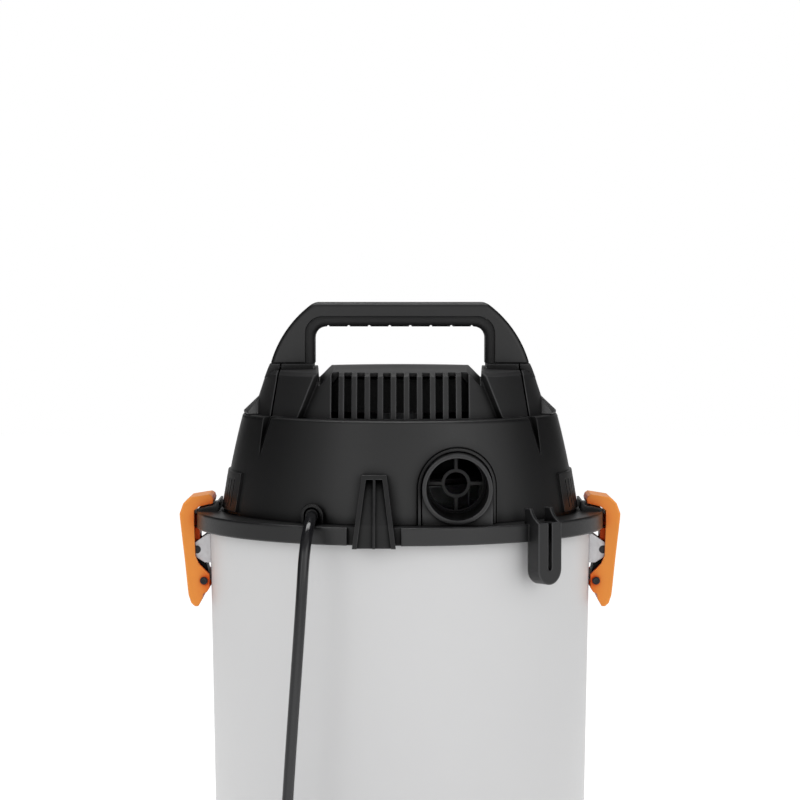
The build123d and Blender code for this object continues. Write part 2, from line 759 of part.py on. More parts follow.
with BuildPart() as hose_dock:
    with BuildSketch(rear_plane.offset(80)):
        with Locations((dock_x, dock_foot_z)):
            Polygon(
                (-dock_foot_half, 0),
                (dock_foot_half, 0),
                (dock_top_half, dock_drop),
                (-dock_top_half, dock_drop),
                align=None,
            )
    extrude(amount=90)
    with BuildSketch(rear_plane.offset(80)):
        with Locations((dock_x, dock_foot_z - 2)):
            Polygon(
                (-dock_foot_half + dock_rail, 0),
                (-dock_rib / 2, 0),
                (-dock_rib / 2, dock_drop - 1),
                (-dock_top_half + dock_rail, dock_drop - 1),
                align=None,
            )
            Polygon(
                (dock_foot_half - dock_rail, 0),
                (dock_rib / 2, 0),
                (dock_rib / 2, dock_drop - 1),
                (dock_top_half - dock_rail, dock_drop - 1),
                align=None,
            )
    extrude(amount=90, mode=Mode.SUBTRACT)
    # floor of the channel, which follows the slope of the rails
    with BuildSketch(Plane.YZ.offset(dock_x - dock_foot_half)):
        Polygon(
            (-80, dock_foot_z),
            (dock_floor_foot, dock_foot_z),
            (dock_floor_bend, lid_top + 2),
            (dock_floor_top, dock_top_z),
            (-80, dock_top_z),
            align=None,
        )
    extrude(amount=2 * dock_foot_half)
    with BuildSketch(rear_plane.offset(80)):
        with Locations((dock_x, dock_foot_z)):
            Polygon(
                (-dock_foot_half, 0),
                (dock_foot_half, 0),
                (dock_top_half, dock_drop),
                (-dock_top_half, dock_drop),
                align=None,
            )
    extrude(amount=90, mode=Mode.INTERSECT)
    # slope of the rails, seen from the side
    with BuildSketch(Plane.YZ.offset(dock_x - dock_foot_half)):
        Polygon(
            (-80, dock_foot_z),
            (dock_foot_y, dock_foot_z),
            (dock_bend_y, lid_top + 2),
            (dock_top_y, dock_top_z),
            (-80, dock_top_z),
            align=None,
        )
    extrude(amount=2 * dock_foot_half, mode=Mode.INTERSECT)



def dart_plane(azimuth):
    """Plane of a dart's floor, which meets the housing's face at the dart's point."""
    a = radians(azimuth)
    return Plane(
        origin=(dart_floor * cos(a), dart_floor * sin(a), ledge_z - 1),
        x_dir=(-sin(a), cos(a), 0),
        z_dir=(cos(dart_slope) * cos(a), cos(dart_slope) * sin(a), sin(dart_slope)),
    )


# wall behind each dart, inside the shell
with BuildPart() as dart_backs:
    for azimuth in dart_azimuths:
        with BuildSketch(dart_plane(azimuth).offset(-dart_wall)):
            Polygon(
                (-dart_half - dart_wall, 6),
                (dart_half + dart_wall, 6),
                (dart_wall, -dart_length),
                (-dart_wall, -dart_length),
                align=None,
            )
        extrude(amount=14)
    with BuildSketch(Plane.XZ):
        add(housing_outline(-0.6))
    revolve(axis=Axis.Z, mode=Mode.INTERSECT)

with BuildPart() as motor_housing:
    with BuildSketch(Plane.XZ):
        add(housing_outline(0))
    revolve(axis=Axis.Z)
    # raised panels for the side vents
    for azimuth in (0, 180):
        with BuildSketch(radial_plane(azimuth - vent_panel_half)):
            with BuildLine():
                Polyline(
                    (100, rim_z + 15),
                    (housing_foot - 0.5 + vent_panel_height, rim_z + 15),
                    (housing_foot - 5.2 + vent_panel_height, rim_z + 43),
                    (100, rim_z + 45),
                    close=True,
                )
            make_face()
        revolve(axis=Axis.Z, revolution_arc=2 * vent_panel_half)
    add(frame_groove.part, mode=Mode.SUBTRACT)
    add(outlet_frame.part)
    add(cord_hood.part)
    add(hose_dock.part)
    # inside of the shell
    with BuildSketch(Plane.XZ):
        with BuildLine():
            ThreePointArc(
                (housing_foot - housing_wall, lid_top - 40),
                (housing_foot - housing_wall, lid_top - 20),
                (housing_foot - housing_wall - 0.01, lid_top),
            )
            ThreePointArc(
                (housing_foot - housing_wall - 0.01, lid_top),
                (housing_waist - housing_wall, rim_z + 48),
                (housing_shoulder - housing_wall, ledge_z - housing_wall),
            )
            Polyline(
                (housing_shoulder - housing_wall, ledge_z - housing_wall),
                (0, ledge_z - housing_wall),
                (0, lid_top - 40),
                (housing_foot - housing_wall, lid_top - 40),
            )
        make_face()
    revolve(axis=Axis.Z, mode=Mode.SUBTRACT)
    with Locations((0, 0, ledge_z - 10)):
        Cylinder(ledge_inner, 20, align=standing, mode=Mode.SUBTRACT)
    # hollow behind the floor of the dock
    with BuildSketch(Plane.YZ.offset(dock_x - dock_hollow_half)):
        Polygon(
            (-110, lid_top + 3),
            (dock_floor_bend + dock_floor_wall, lid_top + 3),
            (dock_floor_top + dock_floor_wall, dock_top_z),
            (-110, dock_top_z),
            align=None,
        )
    extrude(amount=2 * dock_hollow_half, mode=Mode.SUBTRACT)
    add(dart_backs.part)
    with Locations((0, 0, rim_z - 20)):
        Cylinder(dock_notch_depth + 0.2, lid_top - rim_z + 20.05, align=standing, mode=Mode.SUBTRACT)
    # opening for the outlet block, and the cord's way out
    with BuildSketch(rear_plane.offset(70)):
        port_arch(lip_inner, lid_top - 2)
    extrude(amount=90, mode=Mode.SUBTRACT)
    with BuildSketch(rear_plane.offset(70)):
        hood_arch(hood_inner)
    extrude(amount=90, mode=Mode.SUBTRACT)
    # slits of the side vents
    for azimuth in (0, 180):
        for step in range(-6, 7):
            with BuildSketch(tangent_plane(azimuth + vent_slit_step * step).offset(100)):
                with Locations((0, rim_z + 28)):
                    SlotOverall(21, vent_slit_width, rotation=90)
            extrude(amount=50, mode=Mode.SUBTRACT)
    # pointed darts below the shoulder
    for azimuth in dart_azimuths:
        with BuildSketch(dart_plane(azimuth)):
            Polygon((-dart_half, 6), (dart_half, 6), (0.6, -dart_length), (-0.6, -dart_length), align=None)
        extrude(amount=16, mode=Mode.SUBTRACT)
    # seat for the switch
    with BuildSketch(switch_plane.offset(-1.6)):
        RectangleRounded(bezel_width + 0.6, bezel_height + 0.6, 3.3)
    extrude(amount=12, mode=Mode.SUBTRACT)
    with BuildSketch(switch_plane.offset(-20)):
        Rectangle(switch_body_width + 0.8, switch_body_height + 0.8)
    extrude(amount=30, mode=Mode.SUBTRACT)
    # screw posts, which stand on the lid
    for angle in housing_screw_angles:
        a = radians(angle)
        with Locations((housing_screw_circle * cos(a), housing_screw_circle * sin(a), lid_top + 0.05)):
            Cylinder(4.5, ledge_z - lid_top - 2, align=standing)
            Cylinder(1.95, 24, align=standing, mode=Mode.SUBTRACT)
write(motor_housing.part, "motor_housing")

with BuildPart() as housing_screws:
    for angle in housing_screw_angles:
        a = radians(angle)
        with Locations((housing_screw_circle * cos(a), housing_screw_circle * sin(a), lid_underside)):
            Cylinder(1.9, 22, align=standing)
        with Locations((housing_screw_circle * cos(a), housing_screw_circle * sin(a), lid_underside - 2.6)):
            Cylinder(3.8, 2.6, align=standing)
write(housing_screws.part, "housing_screws")

# Guard inside the blower outlet: a ring with a hollow hub on four spokes
with BuildPart() as blower_guard:
    with BuildSketch(rear_plane.offset(port_shoulder - 4)):
        with Locations((port_x, port_z)):
            Circle(bore_blower - port_step - 0.05)
            Circle(bore_blower - port_step - 1.6, mode=Mode.SUBTRACT)
            Circle(10.6)
            Rectangle(2 * (bore_blower - port_step) - 1, 2.6)
            Rectangle(2.6, 2 * (bore_blower - port_step) - 1)
            Circle(8.0, mode=Mode.SUBTRACT)
    extrude(amount=3.0)
write(blower_guard.part, "blower_guard")

# Top cover: vent block between two pods, seats for the handle's legs
cover_foot = 110.0
cover_brow = 100.2
cover_brow_z = rim_z + 115.0
cover_edge = 96.5
cover_edge_z = rim_z + 117.5
vent_foot = 104.5
vent_brow = 93.7
vent_brow_z = rim_z + 115.6
vent_edge = 89.5
vent_edge_z = rim_z + 118.0
vent_wall = 3.0
valley_inner, valley_outer = 52.4, 66.5  # solid rib under each valley of the cover
valley_foot = 56.4  # the valley's inner side slopes up from here at 45 degrees
valley_floor_z = rim_z + 108.4
valley_wall = 3.2
valley_rise = cover_top_z + 1 - valley_floor_z
valley_flare = 0.03  # the valleys move apart by this much of their length towards the front
vent_pitch = 9.35
vent_slot = 5.4
vent_count = 11
vent_slot_reach = 83.5  # distance of the slots' inner ends from the axis
handle_half = 22.0
cover_low = ledge_z + 0.05


def vent_block_outline(inset):
    """Half outline of the vent block about the axis, shrunk by inset, from below the cover to its top."""
    with BuildSketch() as outline:
        Polygon(
            (0, cover_low - 5),
            (vent_foot + 1.7 - inset, cover_low - 5),
            (vent_foot - inset, cover_low),
            (vent_brow - inset, vent_brow_z - inset),
            (vent_edge - inset, vent_edge_z - inset),
            (0, cover_top_z + 0.2 - inset),
            align=None,
        )
    return outline.sketch


def valley_rib(side, clearance):
    """Outline of the solid rib under a valley, grown downwards and inwards by clearance."""
    Polygon(
        (side * (valley_inner - clearance), valley_floor_z - valley_wall - clearance),
        (side * valley_outer, valley_floor_z - valley_wall - clearance),
        (side * valley_outer, valley_floor_z + valley_rise),
        (side * (valley_inner - valley_rise - clearance), valley_floor_z + valley_rise),
        align=None,
    )


# recess between the pods: steep walls, flared where they meet the pods' faces
flare_start = 75.0
with BuildPart() as vent_recess:
    with BuildSketch(rear_plane.offset(60)):
        Polygon(
            (-65.9, cover_low - 4),
            (65.9, cover_low - 4),
            (53.7, cover_top_z + 2),
            (-53.7, cover_top_z + 2),
            align=None,
        )
    extrude(amount=70, taper=-9)
    with BuildSketch(rear_plane.offset(flare_start)):
        Polygon(
            (-68.8, ledge_z - 4), (68.8, ledge_z - 4), (57.4, ledge_z + 34), (-57.4, ledge_z + 34), align=None
        )
    extrude(amount=36, taper=-45)
    with BuildSketch(Plane.XZ):
        add(vent_block_outline(0))
    revolve(axis=Axis.Z, mode=Mode.SUBTRACT)

with BuildPart() as cover_grooves:
    for side in (-1, 1):
        with BuildSketch(rear_plane):
            Polygon(
                (side * 86.9, cover_top_z + 6),
                (side * 88.3, cover_top_z + 6),
                (side * 94.9, cover_low - 2),
                (side * 93.5, cover_low - 2),
                align=None,
            )
        extrude(amount=120, both=True)
    with BuildSketch(Plane.XZ):
        with BuildLine():
            Polyline(
                (0, cover_low - 4),
                (cover_foot - 1.2, cover_low - 4),
                (cover_brow - 2.4, cover_brow_z - 0.4),
                (cover_edge - 2.4, cover_edge_z - 2.2),
                (0, cover_top_z - 2.2),
                close=True,
            )
        make_face()
    revolve(axis=Axis.Z, mode=Mode.SUBTRACT)

with BuildPart() as cover_cavity:
    with BuildSketch(Plane.XZ):
        add(vent_block_outline(vent_wall))
    revolve(axis=Axis.Z)
    for side in (-1, 1):
        with BuildSketch(Plane.XZ):
            valley_rib(side, 0)
        extrude(amount=150, both=True, mode=Mode.SUBTRACT)

# flares over the side vents, which die away at both ends
flare_half = 24.0  # degrees
flare_end = 13.0
flare_end_slope = radians(34)

with BuildPart() as side_flares:
    for azimuth in (0, 180):
        with BuildSketch(radial_plane(azimuth - flare_half)):
            Polygon((100, cover_low), (117, ledge_z + 0.4), (117, ledge_z + 2), (105.5, rim_z + 98), align=None)
        revolve(axis=Axis.Z, revolution_arc=2 * flare_half)
    for azimuth, side in ((0, 1), (0, -1), (180, 1), (180, -1)):
        a = radians(azimuth + side * flare_end)
        end_plane = Plane(
            origin=(110 * cos(a), 110 * sin(a), rim_z + 91.5),
            x_dir=(cos(a), sin(a), 0),
            z_dir=(
                -side * sin(flare_end_slope) * sin(a),
                side * sin(flare_end_slope) * cos(a),
                cos(flare_end_slope),
            ),
        )
        with BuildSketch(end_plane):
            Rectangle(60, 80)
        extrude(amount=40, mode=Mode.SUBTRACT)

with BuildPart() as top_cover:
    with BuildSketch(Plane.XZ):
        with BuildLine():
            Polyline(
                (0, cover_low),
                (cover_foot, cover_low),
                (cover_brow, cover_brow_z),
                (cover_edge, cover_edge_z),
                (0, cover_top_z),
                close=True,
            )
        make_face()
    revolve(axis=Axis.Z)
    add(side_flares.part)
    # seats of the handle
    for side in (-1, 1):
        with BuildSketch(Plane.XZ.offset(-handle_half - 1)):
            Polygon(
                (side * 64.5, rim_z + 112),
                (side * 100.6, rim_z + 112),
                (side * 98.0, rim_z + 119),
                (side * 96.6, handle_foot_z - 0.05),
                (side * 64.5, handle_foot_z - 0.05),
                align=None,
            )
        extrude(amount=2 * handle_half + 2)
    add(vent_recess.part, mode=Mode.SUBTRACT)
    add(mirror(vent_recess.part, about=Plane.XZ, mode=Mode.PRIVATE), mode=Mode.SUBTRACT)
    add(cover_grooves.part, mode=Mode.SUBTRACT)
    # valleys between the pods and the vent block
    for side in (-1, 1):
        with BuildSketch(rear_plane.offset(125)):
            Polygon(
                (side * 57.0, valley_floor_z),
                (side * valley_foot, valley_floor_z),
                (side * (valley_foot - valley_rise), valley_floor_z + valley_rise),
                (side * 59.4, valley_floor_z + valley_rise),
                (side * 57.6, rim_z + 116.6),
                align=None,
            )
        extrude(amount=250, dir=(side * valley_flare, 1, 0), mode=Mode.SUBTRACT)
    add(cover_cavity.part, mode=Mode.SUBTRACT)
    # vent slots in the rear face, which run out over its top edge
    for step in range(vent_count):
        slot_x = (step - (vent_count - 1) / 2) * vent_pitch
        slot_back = sqrt(vent_slot_reach**2 - slot_x**2)
        with Locations((slot_x, -slot_back, ledge_z + 0.6)):
            Box(vent_slot, 44, 33.6, align=(Align.CENTER, Align.MAX, Align.MIN), mode=Mode.SUBTRACT)
write(top_cover.part, "top_cover")

with BuildPart() as vent_baffle:
    with BuildSketch(Plane.XY.offset(ledge_z + 4)):
        with BuildLine():
            ThreePointArc((-52, -62), (0, -80), (52, -62))
            Line((52, -62), (52, -60))
            ThreePointArc((52, -60), (0, -78), (-52, -60))
            Line((-52, -60), (-52, -62))
        make_face()
    extrude(amount=24)
    for side in (-1, 1):
        with BuildSketch(Plane.XZ):
            valley_rib(side, 0.6)
        extrude(amount=150, both=True, mode=Mode.SUBTRACT)
write(vent_baffle.part, "vent_baffle")

# Carrying handle: an arch with a softer liner let into its underside
grip_half = 18.5
handle_inner_x = 70.6
handle_inner_z = rim_z + 157.4
grip_inner_x = 63.6
grip_inner_z = rim_z + 149.6
grip_rib_pitch = 15.3
grip_ribs = 8
grip_groove = 1.1
handle_screw_x = 83.0
handle_shoulder_x = 64.1  # where the legs' curve would meet the flat top
shadow_gap = 0.9

with BuildPart() as handle:
    with BuildSketch(Plane.XZ.offset(-handle_half)) as arch_outline:
        with BuildLine():
            ThreePointArc((96.2, handle_foot_z), (86.5, rim_z + 144), (handle_shoulder_x, handle_top_z))
            Line((handle_shoulder_x, handle_top_z), (-handle_shoulder_x, handle_top_z))
            ThreePointArc((-handle_shoulder_x, handle_top_z), (-86.5, rim_z + 144), (-96.2, handle_foot_z))
            Line((-96.2, handle_foot_z), (96.2, handle_foot_z))
        make_face()
        fillet(arch_outline.vertices().group_by(Axis.Y)[-1], 9)
    extrude(amount=2 * handle_half)
    outside_edges = handle.faces().sort_by(Axis.Y)[0].edges() + handle.faces().sort_by(Axis.Y)[-1].edges()
    fillet(outside_edges.filter_by_position(Axis.Z, handle_foot_z + 1, handle_top_z + 1), 4.0)
    with BuildSketch(Plane.XZ.offset(-handle_half - 1)) as gap_outline:
        with Locations((0, (handle_foot_z - 10 + handle_inner_z) / 2)):
            Rectangle(2 * handle_inner_x, handle_inner_z - handle_foot_z + 10)
        fillet(gap_outline.vertices().group_by(Axis.Y)[-1], 13)
    extrude(amount=2 * handle_half + 2, mode=Mode.SUBTRACT)
    # shadow gap above the cover
    with BuildSketch(Plane.XY.offset(handle_foot_z)):
        Rectangle(240, 80)
        Rectangle(2 * (96.2 - shadow_gap), 2 * (handle_half - shadow_gap), mode=Mode.SUBTRACT)
    extrude(amount=shadow_gap, mode=Mode.SUBTRACT)
    for side in (-1, 1):
        with Locations((side * handle_screw_x, 0, handle_foot_z - 1)):
            Cylinder(2.0, 14, align=standing, mode=Mode.SUBTRACT)
write(handle.part, "handle")

with BuildPart() as handle_grip:
    with BuildSketch(Plane.XZ.offset(-grip_half)) as liner_outline:
        with Locations((0, (handle_foot_z + handle_inner_z) / 2)):
            Rectangle(2 * handle_inner_x - 0.1, handle_inner_z - handle_foot_z - 0.1)
        fillet(liner_outline.vertices().group_by(Axis.Y)[-1], 13)
    extrude(amount=2 * grip_half)
    with BuildSketch(Plane.XZ.offset(-grip_half - 1)) as hand_outline:
        with Locations((0, (handle_foot_z - 10 + grip_inner_z) / 2)):
            Rectangle(2 * grip_inner_x, grip_inner_z - handle_foot_z + 10)
        fillet(hand_outline.vertices().group_by(Axis.Y)[-1], 9)
    extrude(amount=2 * grip_half + 2, mode=Mode.SUBTRACT)
    liner_faces = handle_grip.faces().sort_by(Axis.Y)
    liner_edges = liner_faces[0].edges() + liner_faces[-1].edges()
    hand_edges = liner_edges.filter_by_position(Axis.X, -grip_inner_x - 0.5, grip_inner_x + 0.5)
    fillet(hand_edges.filter_by_position(Axis.Z, handle_foot_z + 0.5, grip_inner_z + 0.5), 4.5)
    for step in range(grip_ribs):
        groove_x = (step - (grip_ribs - 1) / 2) * grip_rib_pitch
        with Locations(Location((groove_x, 0, grip_inner_z), (90, 0, 0))):
            Cylinder(grip_groove, 2 * grip_half + 4, mode=Mode.SUBTRACT)
write(handle_grip.part, "handle_grip")

with BuildPart() as handle_screws:
    for side in (-1, 1):
        with Locations((side * handle_screw_x, 0, handle_foot_z + 0.3)):
            Cylinder(1.9, 12, align=standing)
write(handle_screws.part, "handle_screws")

# Rocker switch on the front of the housing, drawn in the switch plane
rocker_tilt = 7.0
rocker_pivot = -3.0

with BuildPart() as switch_bezel:
    with BuildSketch(switch_plane.offset(-1.5)):
        RectangleRounded(bezel_width, bezel_height, 3)
    extrude(amount=3.6)
    chamfer(switch_bezel.faces().sort_by(Axis.Y)[-1].edges(), 0.8)
    with BuildSketch(switch_plane.offset(-13)):
        Rectangle(switch_body_width, switch_body_height)
    extrude(amount=12)
    with BuildSketch(switch_plane.offset(-9)):
        Rectangle(24, 16.4)
    extrude(amount=20, mode=Mode.SUBTRACT)
    with Locations(switch_plane.location * Location((0, 0, rocker_pivot), (0, 90, 0))):
        Cylinder(1.5, 27, mode=Mode.SUBTRACT)
write(switch_bezel.part, "switch_bezel")

with BuildPart() as switch_rocker:
    with BuildSketch(Plane.YZ.offset(-11.7)):
        Polygon((-7.0, -1.2), (7.0, -1.2), (7.2, 4.9), (0, 5.6), (-7.2, 4.9), align=None)
    extrude(amount=23.4)
    fillet(switch_rocker.edges().filter_by(Axis.X).sort_by(Axis.Z)[1:3], 0.6)
    with Locations(Location((0, 0, 0), (0, 90, 0))):
        Cylinder(1.44, 26.4)
rocker_place = switch_plane.location * Location((0, 0, rocker_pivot), (rocker_tilt, 0, 0))
write(switch_rocker.part.moved(rocker_place), "switch_rocker")

# Motor, fan and its shroud on the drum's axis
shaft_radius = 4.0
can_radius = 44.0
can_bottom_z = rim_z + 42.0
can_top_z = rim_z + 112.0
shroud_radius = 76.0
shroud_top_z = rim_z + 40.0
bearing_radius = 11.0
bearing_width = 7.0
fan_radius = 66.0

with BuildPart() as fan_shroud:
    with Locations((0, 0, lid_top + 0.05)):
        Cylinder(shroud_radius, shroud_top_z - lid_top, align=standing)
        Cylinder(shroud_radius - 2, shroud_top_z - lid_top - 2, align=standing, mode=Mode.SUBTRACT)
    with Locations((0, 0, shroud_top_z - 5)):
        Cylinder(14, 10, align=standing, mode=Mode.SUBTRACT)
    with Locations((port_x, -shroud_radius, (lid_top + shroud_top_z) / 2)):
        Box(44, 60, 22, mode=Mode.SUBTRACT)
write(fan_shroud.part, "fan_shroud")

with BuildPart() as impeller:
    with Locations((0, 0, rim_z + 17)):
        Cylinder(fan_radius, 1.6, align=standing)
        Cylinder(12, 19, align=standing)
    with Locations((0, 0, rim_z + 33)):
        Cylinder(fan_radius, 1.6, align=standing)
    with Locations((0, 0, rim_z + 16)):
        Cylinder(lid_opening, 3, align=standing, mode=Mode.SUBTRACT)
    for step in range(9):
        with BuildSketch(Plane.XY.offset(rim_z + 18).rotated((0, 0, 40 * step))):
            with BuildLine():
                ThreePointArc((22, 0), (46, 8), (64.5, 2))
                Line((64.5, 2), (64.5, 3.6))
                ThreePointArc((64.5, 3.6), (46, 9.8), (22, 1.8))
                Line((22, 1.8), (22, 0))
            make_face()
        extrude(amount=16)
    with Locations((0, 0, rim_z + 20)):
        Cylinder(12, 16, align=standing)
    with Locations((0, 0, rim_z)):
        Cylinder(shaft_radius + 0.02, 60, align=standing, mode=Mode.SUBTRACT)
write(impeller.part, "impeller")

with BuildPart() as motor_shaft:
    with Locations((0, 0, rim_z + 19.4)):
        Cylinder(shaft_radius, can_top_z - rim_z - 19.4 - 2.8, align=standing)
write(motor_shaft.part, "motor_shaft")

with BuildPart() as armature:
    with Locations((0, 0, rim_z + 58)):
        Cylinder(25, 30, align=standing)
        with PolarLocations(25, 12):
            Cylinder(2.2, 30, align=standing, mode=Mode.SUBTRACT)
    with Locations((0, 0, rim_z + 54)):
        Cylinder(19, 38, align=standing)
    with Locations((0, 0, rim_z + 92)):
        Cylinder(11.5, 9, align=standing)
    with Locations((0, 0, rim_z)):
        Cylinder(shaft_radius + 0.02, 120, align=standing, mode=Mode.SUBTRACT)
write(armature.part, "armature")

with BuildPart() as motor_bearings:
    for height in (can_bottom_z + 0.1, can_top_z - 2.6 - bearing_width):
        with Locations((0, 0, height)):
            Cylinder(bearing_radius, bearing_width, align=standing)
            Cylinder(shaft_radius + running_gap, 20, mode=Mode.SUBTRACT)
write(motor_bearings.part, "motor_bearings")

with BuildPart() as motor_can:
    with Locations((0, 0, can_bottom_z)):
        Cylinder(can_radius, can_top_z - can_bottom_z, align=standing)
    with Locations((0, 0, can_bottom_z + bearing_width + 3)):
        Cylinder(can_radius - 2, can_top_z - can_bottom_z - 2 * bearing_width - 5, align=standing, mode=Mode.SUBTRACT)
    for height in (can_bottom_z, can_top_z - bearing_width - 2.7):
        with Locations((0, 0, height)):
            Cylinder(bearing_radius + 0.05, bearing_width + 0.2, align=standing, mode=Mode.SUBTRACT)
    with Locations((0, 0, can_bottom_z - 5)):
        Cylinder(shaft_radius + 2.5, 74, align=standing, mode=Mode.SUBTRACT)
    with Locations((0, 0, shroud_top_z + 0.05)):
        Cylinder(can_radius - 4, can_bottom_z - shroud_top_z, align=standing)
        Cylinder(shaft_radius + 6, 3, align=standing, mode=Mode.SUBTRACT)
write(motor_can.part, "motor_can")

with BuildPart() as motor_stator:
    with Locations((0, 0, rim_z + 56)):
        Cylinder(can_radius - 2.3, 34, align=standing)
        Cylinder(26.0, 34, align=standing, mode=Mode.SUBTRACT)
write(motor_stator.part, "motor_stator")

with BuildPart() as carbon_brushes:
    for side in (-1, 1):
        with Locations((side * 21.8, 0, rim_z + 96.5)):
            Box(20, 6, 7)
write(carbon_brushes.part, "carbon_brushes")

# Filter cartridge, its cage and the float that shuts off a full tank
cage_radius = 55.0
cage_wall = 2.5
cage_bottom_z = rim_z - 118.5
float_radius = 25.0
float_shelf_z = rim_z - 57.0
filter_outer = 78.0
filter_inner = 62.0
filter_low_z = rim_z - 119.0
filter_high_z = rim_z + 2.6
pleat_count = 40

with BuildPart() as filter_cage:
    with Locations((0, 0, cage_bottom_z)):
        Cylinder(cage_radius, lid_underside - cage_bottom_z - 0.1, align=standing)
    with Locations((0, 0, float_shelf_z)):
        Cylinder(cage_radius - cage_wall, 90, align=standing, mode=Mode.SUBTRACT)
    with Locations((0, 0, cage_bottom_z + 3)):
        Cylinder(cage_radius - cage_wall, float_shelf_z - cage_bottom_z - 6, align=standing, mode=Mode.SUBTRACT)
    with PolarLocations(0, 8):
        with Locations((cage_radius, 0, (float_shelf_z + lid_underside) / 2)):
            Box(16, 26, 46, mode=Mode.SUBTRACT)
        with Locations((cage_radius, 0, (float_shelf_z + cage_bottom_z) / 2)):
            Box(16, 26, 44, mode=Mode.SUBTRACT)
        with Locations((36, 0, float_shelf_z - 5)):
            Cylinder(9, 10, align=standing, mode=Mode.SUBTRACT)
    with Locations((0, 0, rim_z - 142)):
        Cylinder(6, cage_bottom_z - rim_z + 143, align=standing)
write(filter_cage.part, "filter_cage")

with BuildPart() as float_ball:
    with Locations((0, 0, float_shelf_z + float_radius + 0.02)):
        Sphere(float_radius)
write(float_ball.part, "float_ball")

pleat_points = []
for step in range(2 * pleat_count):
    angle = pi * step / pleat_count
    ring = filter_outer if step % 2 else filter_inner + 2.5
    pleat_points.append((ring * cos(angle), ring * sin(angle)))

with BuildPart() as filter_media:
    with BuildSketch(Plane.XY.offset(filter_low_z)):
        Polygon(*pleat_points, align=None)
        Circle(filter_inner, mode=Mode.SUBTRACT)
    extrude(amount=filter_high_z - filter_low_z)
write(filter_media.part, "filter_media")

with BuildPart() as filter_end_caps:
    with Locations((0, 0, filter_high_z)):
        Cylinder(filter_outer + 3, 6.6, align=standing)
        Cylinder(filter_inner - 3, 20, align=standing, mode=Mode.SUBTRACT)
    with Locations((0, 0, filter_low_z - 6.4)):
        Cylinder(filter_outer + 3, 6.4, align=standing)
        Cylinder(7, 30, mode=Mode.SUBTRACT)
write(filter_end_caps.part, "filter_end_caps")

with BuildPart() as filter_knob:
    with BuildSketch(Plane.XY.offset(filter_low_z - 6.6)):
        Circle(19)
        with PolarLocations(17, 6):
            Circle(6)
    extrude(amount=-16)
    with Locations((0, 0, filter_low_z - 6.4)):
        Cylinder(6.1, 2 * 16.2, mode=Mode.SUBTRACT)
write(filter_knob.part, "filter_knob")

# Mains lead: out of the hood, down behind the drum, then a coil on the floor with the plug beside it
cord_radius = cord_diameter / 2
cord_exit = Vector(hood_x, -119.0, rim_z + 18.0)
coil_centre = Vector(-22.2, -250.0, 0)
coil_turns_per_layer = 3.5
coil_layers = 4
coil_pitch = 8.7  # between turns and between layers
coil_inner = 33.6
coil_low_z = 6.2  # middle of the lowest layer, over the tie strap
coil_outer = coil_inner + coil_turns_per_layer * coil_pitch
coil_high_z = coil_low_z + (coil_layers - 1) * coil_pitch
coil_straight = cord_diameter
coil_lead = 32.0  # straight run from the coil to the plug
quarter = 0.25

with BuildPart() as cord_gland:
    with Locations(Location(cord_exit + Vector(0, 20, 0), (90, 0, 0))):
        Cone(5.2, 4.6, 20, align=standing)
write(cord_gland.part, "cord_gland")


def coil_knot(turn):
    """Point on the coil's middle line after a number of turns, counted from the top layer's outer end.

    Each layer spirals in or out at a steady rate, and the half turn between two layers carries the
    spiral on for a quarter turn, reverses it, and drops one layer.
    """
    layer_span = coil_turns_per_layer + 0.5
    layer = min(int(turn / layer_span + 1e-9), coil_layers - 1)
    along = turn - layer * layer_span
    inward = layer % 2 == 0
    over = max(0.0, along - coil_turns_per_layer)
    reach = min(along, coil_turns_per_layer) + min(over, quarter) - max(0.0, over - quarter)
    ring = coil_outer - reach * coil_pitch if inward else coil_inner + reach * coil_pitch
    height = coil_high_z - (layer + over / 0.5) * coil_pitch
    a = pi + 2 * pi * turn
    return coil_centre + Vector(ring * cos(a), ring * sin(a), height)


coil_turns = coil_layers * coil_turns_per_layer + (coil_layers - 1) * 0.5 - quarter
coil_knots = [coil_knot(step * quarter) for step in range(round(coil_turns / quarter) + 1)]
coil_tangents = [Vector(0, -1, 0)]
for before, after in zip(coil_knots, coil_knots[2:]):
    coil_tangents.append((after - before).normalized())
coil_tangents.append(Vector(1, 0, 0))


def biarc(start, start_tangent, end, end_tangent):
    """Joining point and its tangent for two arcs that run from start to end along the given tangents."""
    chord = end - start
    both = start_tangent + end_tangent
    spread = 2 * (1 - start_tangent.dot(end_tangent))
    along = chord.dot(both)
    reach = (sqrt(along**2 + spread * chord.dot(chord)) - along) / spread
    first = start + start_tangent * reach
    last = end - end_tangent * reach
    return (first + last) * 0.5, (last - first).normalized()


def route_radii(points):
    """Corner radii along a route: as large as the shorter neighbouring run allows."""
    radii = []
    for before, corner, after in zip(points, points[1:], points[2:]):
        arriving = corner - before
        leaving = after - corner
        half_turn = radians(arriving.get_angle(leaving)) / 2
        radii.append(0.45 * min(arriving.length, leaving.length) / tan(half_turn))
    return radii


coil_start = coil_knots[0] + Vector(0, coil_straight, 0)
coil_end = coil_knots[-1] + Vector(coil_lead, 0, 0)

cord_points = [
    cord_exit,
    cord_exit + Vector(0, -17.0, 0),
    Vector(-63.6, -149.5, rim_z + 13.5),
    Vector(-65.2, -160.0, rim_z + 4.2),
    Vector(-66.6, -166.2, rim_z - 9.0),
    Vector(-67.8, -168.2, rim_z - 30.0),
    Vector(-70.6, -168.6, rim_z - 71.0),
    Vector(-76.4, -166.8, rim_z - 150.0),
    Vector(-82.0, -166.0, 150.0),
    Vector(-84.8, -168.8, 95.0),
    Vector(-86.2, -178.5, 59.0),
    Vector(-86.4, -199.0, 39.0),
    coil_start + Vector(0, 19.0, 0),
    coil_start,
]
cord_radii = route_radii(cord_points)

